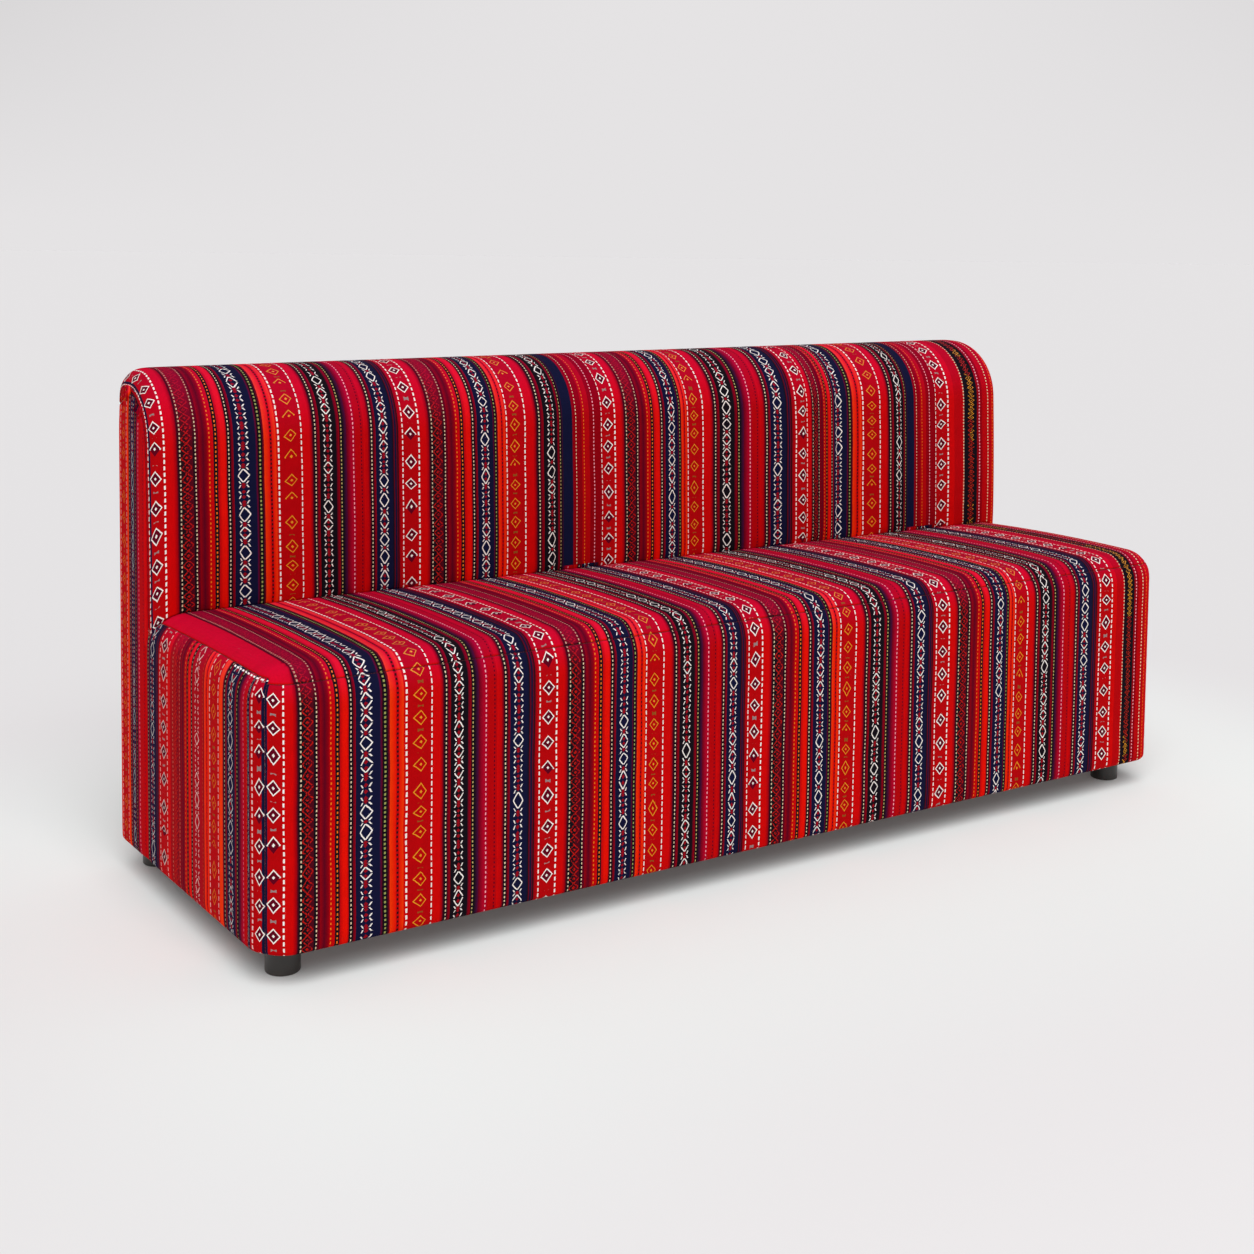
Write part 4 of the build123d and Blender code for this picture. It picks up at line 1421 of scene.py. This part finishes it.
def stitch_tree():
    tree, g, entry, leave = open_tree(
        "sew_stitches",
        [
            ("Pitch", "NodeSocketFloat", STITCH_PITCH),
            ("Stitch length", "NodeSocketFloat", STITCH_LENGTH),
            ("Thread radius", "NodeSocketFloat", THREAD),
            ("Seed", "NodeSocketInt", 5),
            ("Material", "NodeSocketMaterial", None),
        ],
    )
    line = g.node("GeometryNodeMeshToCurve", entry[0])
    even = tree.nodes.new("GeometryNodeResampleCurve")
    even.mode = "LENGTH"
    g.put(even.inputs["Curve"], line)
    g.put(even.inputs["Length"], entry[1])
    stitch = tree.nodes.new("GeometryNodeMeshCylinder")
    stitch.inputs["Vertices"].default_value = STITCH_SIDES
    g.put(stitch.inputs["Radius"], entry[3])
    g.put(stitch.inputs["Depth"], entry[2])
    along = g.node("GeometryNodeInputTangent")
    aim = tree.nodes.new("FunctionNodeAlignRotationToVector")
    aim.axis = "Z"
    g.put(aim.inputs["Vector"], along)
    size = tree.nodes.new("FunctionNodeRandomValue")
    size.inputs[2].default_value = STITCH_SMALLEST
    size.inputs[3].default_value = STITCH_LARGEST
    g.put(size.inputs["Seed"], entry[4])
    sown = tree.nodes.new("GeometryNodeInstanceOnPoints")
    g.put(sown.inputs["Points"], even.outputs[0])
    g.put(sown.inputs["Instance"], stitch.outputs[0])
    g.put(sown.inputs["Rotation"], aim.outputs[0])
    g.put(sown.inputs["Scale"], size.outputs[1])
    close_tree(tree, g, leave, sown.outputs[0], entry[5])
    return tree


def seam_lines(form, name):
    """The edges between two panels, sunk into the groove."""
    bm = bmesh.new()
    bm.from_mesh(form.data)
    bm.normal_update()
    panel = bm.faces.layers.int["panel"]
    seams = [
        e for e in bm.edges
        if len(e.link_faces) == 2 and e.link_faces[0][panel] != e.link_faces[1][panel]
    ]
    used = sorted({v for e in seams for v in e.verts}, key=lambda v: v.index)
    number = {v: k for k, v in enumerate(used)}
    points = [tuple(v.co - v.normal * STITCH_DEPTH) for v in used]
    mesh = bpy.data.meshes.new(name)
    mesh.from_pydata(points, [tuple(number[v] for v in e.verts) for e in seams], [])
    bm.free()
    made = bpy.data.objects.new(name, mesh)
    scene.collection.objects.link(made)
    return made


def blank_material(name):
    """A new material with its graph, its shader and the place of a point."""
    material = bpy.data.materials.new(name)
    material.use_nodes = True
    g = Weave(material.node_tree)
    shader = material.node_tree.nodes["Principled BSDF"]
    return material, g, shader, g.node("ShaderNodeTexCoord", out=3)


def thread_material():
    """Dark red polyester thread with a twist."""
    material, g, shader, place = blank_material("sewing_thread")
    twist = g.noise(place, 400.0)
    g.put(shader.inputs["Base Color"], g.mix(twist, dye(60, 4, 12), dye(96, 10, 20)))
    shader.inputs["Roughness"].default_value = 0.6
    return material


sew = stitch_tree()
thread = thread_material()
for form, name in ((seat, "seat_stitches"), (back, "back_stitches")):
    stitches = seam_lines(form, name)
    grow(stitches, sew, material=thread)
    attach(stitches, "root")
    print(name, len(stitches.data.polygons), "faces")
bpy.data.objects.remove(seat)
bpy.data.objects.remove(back)

# %% [markdown]
# ## The dust cover
# Under the frame a thin black felt keeps the dust out. It is stapled along its edge and hangs
# slack by a millimetre or two between the staples, so a flat sheet would look like a board.

# %% Black felt under the frame
FELT = 0.5 * MM
FELT_GRID = 15 * MM
FELT_SAG = 2.0 * MM
FELT_WAVE = 0.5 * MM
WAVES_ALONG, WAVES_ACROSS, WAVES_SLANT = 41, 13, 5


def felt_material():
    material, g, shader, place = blank_material("dust_felt")
    fibres = g.noise(place, 900.0, 4.0)
    clouds = g.times(fibres, g.noise(place, 12.0))
    g.put(shader.inputs["Base Color"], g.mix(clouds, dye(26, 26, 27), dye(64, 63, 62)))
    shader.inputs["Roughness"].default_value = 0.95
    g.relief(shader, fibres, 0.4, 0.4 * MM)
    return material


def felt():
    low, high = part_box("dust_cover")
    xs = steps(low.x, high.x, FELT_GRID)
    ys = steps(low.y, high.y, FELT_GRID)
    bm = bmesh.new()
    grid = []
    for x in xs:
        line = []
        for y in ys:
            u = (x - low.x) / (high.x - low.x)
            v = (y - low.y) / (high.y - low.y)
            slack = 4 * math.sqrt(u * (1 - u) * v * (1 - v))
            wave = math.sin(u * WAVES_ALONG) * math.sin(v * WAVES_ACROSS + u * WAVES_SLANT)
            sag = slack * (FELT_SAG + wave * FELT_WAVE)
            line.append(bm.verts.new((x, y, high.z - FELT - sag)))
        grid.append(line)
    for a, b in zip(grid, grid[1:]):
        for k in range(len(ys) - 1):
            bm.faces.new((a[k], a[k + 1], b[k + 1], b[k]))
    mesh = bpy.data.meshes.new("underside_felt")
    bm.to_mesh(mesh)
    bm.free()
    made = bpy.data.objects.new("underside_felt", mesh)
    scene.collection.objects.link(made)
    thick = made.modifiers.new("thickness", "SOLIDIFY")
    thick.thickness = FELT
    thick.offset = -1
    graph = bpy.context.evaluated_depsgraph_get()
    made.data = bpy.data.meshes.new_from_object(made.evaluated_get(graph), depsgraph=graph)
    made.modifiers.clear()
    made.data.materials.append(felt_material())
    smooth(made)
    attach(made, "root")
    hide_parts("dust_cover")
    return made


underside = felt()
print("felt", len(underside.data.polygons), "faces")

# %% [markdown]
# ## Wood, steel and moulded plastic
# The frame is hidden when the sofa stands, but the part is also seen taken apart. Each solid
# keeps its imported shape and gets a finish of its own: veneers with a running grain, sawn pine,
# zinc that has dulled in places, and the satin black of a moulded foot.

# %% A finish: a colour between two tones, with roughness and fine relief
def finish(name, pattern, tones, rough, depth, metal=0.0):
    """pattern(graph, place) gives a height from 0 to 1 that drives colour, gloss and relief."""
    material, g, shader, place = blank_material(name)
    height = pattern(g, place)
    g.put(shader.inputs["Base Color"], g.mix(height, *tones))
    spread = g.times(height, rough[1] - rough[0])
    g.put(shader.inputs["Roughness"], g.plus(spread, rough[0]))
    shader.inputs["Metallic"].default_value = metal
    g.relief(shader, height, 0.5, depth)
    return material


def layered(g, place, broad, broad_scale, fine, share):
    """A broad figure with fine pores over it, each stretched by its own three scales."""
    figure = g.noise(g.vector("MULTIPLY", place, broad), broad_scale, 4.0)
    pores = g.noise(g.vector("MULTIPLY", place, fine), 1.0)
    return g.plus(g.times(figure, share), g.times(pores, 1 - share))


def grain(g, place):
    return layered(g, place, (3.0, 60.0, 60.0), 1.0, (40.0, 900.0, 900.0), 0.75)


def plies(g, place):
    return layered(g, place, (14.0, 14.0, 4.0), 3.0, (500.0, 500.0, 40.0), 0.7)


def dulled(g, place):
    return g.noise(place, 160.0, 3.0)


def moulded(g, place):
    """Fine moulded grain with scuffs, and most wear in the lowest millimetres."""
    fine = g.noise(place, 1400.0)
    scuffs = g.noise(place, 30.0, 3.0)
    low = g.node("ShaderNodeSeparateXYZ", place, out=2)
    worn = g.node("ShaderNodeMapRange", low, 0.0, 8 * MM, 0.6, 0.0)
    mixed = g.plus(g.times(fine, 0.4), g.times(scuffs, 0.4))
    return g.node("ShaderNodeClamp", g.plus(mixed, g.times(worn, scuffs)))


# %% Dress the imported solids
FINISHES = {
    "plywood": finish(
        "birch_ply", plies, (dye(196, 160, 112), dye(226, 198, 152)), (0.5, 0.7), 0.3 * MM
    ),
    "timber": finish(
        "sawn_pine", grain, (dye(186, 140, 84), dye(224, 186, 128)), (0.55, 0.8), 0.6 * MM
    ),
    "zinc_steel": finish(
        "dull_zinc", dulled, (dye(150, 154, 158), dye(196, 198, 198)), (0.28, 0.5), 0.1 * MM, 1.0
    ),
    "foot_plastic": finish(
        "satin_black_plastic", moulded, (dye(30, 27, 25), dye(58, 53, 49)), (0.32, 0.52), 0.1 * MM
    ),
}
for name, node in nodes.items():
    for place in node.material_slots:
        kind = place.material.name.split(".")[0]
        if kind in FINISHES:
            place.material = FINISHES[kind]
print("dressed", len(nodes), "nodes in", len(FINISHES), "finishes")

# %% [markdown]
# ## The floor, the light and the camera
# A plain pale floor, a broad soft key and the world around it. The camera stands where the
# photograph was taken from: its lens is shifted, so that upright edges stay nearly upright.

# %% Camera from the solved view
FRAME_PIXELS = 1254
FOCAL_PIXELS = 1801.875
HORIZON_PIXELS = 354.631
EYE = Vector((-1817.473, -2524.153, 1041.839)) * MM
YAW, PITCH, ROLL = 0.592685, 0.071254, 0.011785
SENSOR = 36.0


def aim_camera():
    data = bpy.data.cameras.new("camera")
    eye = bpy.data.objects.new("camera", data)
    scene.collection.objects.link(eye)
    ahead = Vector(
        (math.sin(YAW) * math.cos(PITCH), math.cos(YAW) * math.cos(PITCH), -math.sin(PITCH))
    )
    level = Vector((math.cos(YAW), -math.sin(YAW), 0))
    over = level.cross(ahead)
    side = math.cos(ROLL) * level + math.sin(ROLL) * over
    upright = -math.sin(ROLL) * level + math.cos(ROLL) * over
    turn = Matrix((side, upright, -ahead)).transposed()
    eye.matrix_world = Matrix.Translation(EYE) @ turn.to_4x4()
    data.sensor_width = SENSOR
    data.lens = FOCAL_PIXELS / FRAME_PIXELS * SENSOR
    data.shift_y = (HORIZON_PIXELS - FRAME_PIXELS / 2) / FRAME_PIXELS
    data.clip_end = 60
    scene.camera = eye
    return eye


camera = aim_camera()
print("lens", round(camera.data.lens, 2), "shift", round(camera.data.shift_y, 4))

# %% Floor
FLOOR_SIZE = 200
LIGHTER_FROM, LIGHTER_TO = 0.5, -2.2
CLOSE, CLOSE_END = 0.1, 0.9
LEFT_END, LEFT, LEFT_SHARE = -1.5, -0.7, 0.25
BOUNCE, BOUNCE_START, BOUNCE_END = 0.07, 0.02, 0.09


def floor_material():
    """Pale matt floor, lighter towards the front, painted lighter and cooler near the sofa, with a
    faint red glow painted under it.
    """
    material, g, shader, place = blank_material("studio_floor")
    x, y, _ = g.node("ShaderNodeSeparateXYZ", place).node.outputs
    lighter = g.easing(y, LIGHTER_FROM, LIGHTER_TO, 0.0, 1.0)
    beyond_end = g.minus(g.size(x), END)
    beyond_rear = g.minus(g.size(y), REAR)
    sides = [g.math("POWER", g.math("MAXIMUM", d, 0.0), 2.0) for d in (beyond_end, beyond_rear)]
    # Painted light: near the sofa the floor is painted lighter and a little cyan, which lifts the
    # sofa's shadow and cancels its red bounce; less of it towards the left.
    close = g.easing(g.math("SQRT", g.plus(*sides)), CLOSE, CLOSE_END, 1.0, 0.0)
    close = g.times(close, g.easing(x, LEFT_END, LEFT, LEFT_SHARE, 1.0))
    tone = g.mix(lighter, dye(228, 226, 227), dye(239, 237, 238))
    g.put(shader.inputs["Base Color"], g.mix(close, tone, dye(239, 243, 242)))
    shader.inputs["Roughness"].default_value = 1.0
    shader.inputs["Specular IOR Level"].default_value = 0.0
    # Emission under the sofa: a painted red glow that lifts the shadow beneath it.
    shader.inputs["Emission Color"].default_value = (1.0, 0.86, 0.84, 1.0)
    under = g.times(g.math("MAXIMUM", beyond_end, beyond_rear), -1.0)
    bounce = g.easing(under, BOUNCE_START, BOUNCE_END, 0.0, BOUNCE)
    g.put(shader.inputs["Emission Strength"], bounce)
    return material


bpy.ops.mesh.primitive_plane_add(size=FLOOR_SIZE)
floor = bpy.context.object
floor.name = "studio_floor"
floor.data.materials.append(floor_material())

# %% World: an even dome of light, and for the camera a pale wall that darkens towards its corners
WALL = dye(229, 227, 228)
WALL_CORNER = dye(216, 214, 215)
WALL_MIDDLE = 0.04
WALL_REACH = 0.36
WALL_RISE = 0.13
DOME = 0.4
world = bpy.data.worlds.new("studio")
scene.world = world
world.use_nodes = True
sky = Graph(world.node_tree)
light = world.node_tree.nodes["Background"]
light.inputs["Color"].default_value = (1.0, 1.0, 1.0, 1.0)
light.inputs["Strength"].default_value = DOME
look = sky.node("ShaderNodeTexCoord")
along_wall = (math.cos(YAW), -math.sin(YAW), 0.0)
across = sky.vector("DOT_PRODUCT", look, along_wall).node.outputs["Value"]
rise = sky.node("ShaderNodeSeparateXYZ", look, out=2)
off = sky.over(sky.minus(across, WALL_MIDDLE), WALL_REACH)
up = sky.node("ShaderNodeClamp", sky.over(rise, WALL_RISE))
shade = sky.times(sky.times(off, off), up)
backdrop = world.node_tree.nodes.new("ShaderNodeBackground")
sky.put(backdrop.inputs["Color"], sky.mix(shade, WALL, WALL_CORNER))
rays = world.node_tree.nodes.new("ShaderNodeLightPath")
seen = sky.math("MAXIMUM", rays.outputs["Is Camera Ray"], rays.outputs["Is Glossy Ray"])
seen = sky.math("MAXIMUM", seen, rays.outputs["Is Transmission Ray"])
shown_as = world.node_tree.nodes.new("ShaderNodeMixShader")
sky.put(shown_as.inputs[0], seen)
sky.put(shown_as.inputs[1], light.outputs[0])
sky.put(shown_as.inputs[2], backdrop.outputs[0])
sky.put(world.node_tree.nodes["World Output"].inputs[0], shown_as.outputs[0])

# %% Lamp: one broad sun, high and a little to the front
SUN_TOWARDS = (0.35, 0.7, -1.0)
SUN_WIDTH, SUN_POWER = 50, 2.45


def sun(name, towards, angle, power):
    data = bpy.data.lights.new(name, "SUN")
    data.angle = math.radians(angle)
    data.energy = power
    made = bpy.data.objects.new(name, data)
    made.rotation_euler = Vector(towards).to_track_quat("-Z", "Y").to_euler()
    scene.collection.objects.link(made)
    return made


sun("key", SUN_TOWARDS, SUN_WIDTH, SUN_POWER)
scene.view_settings.view_transform = "Standard"
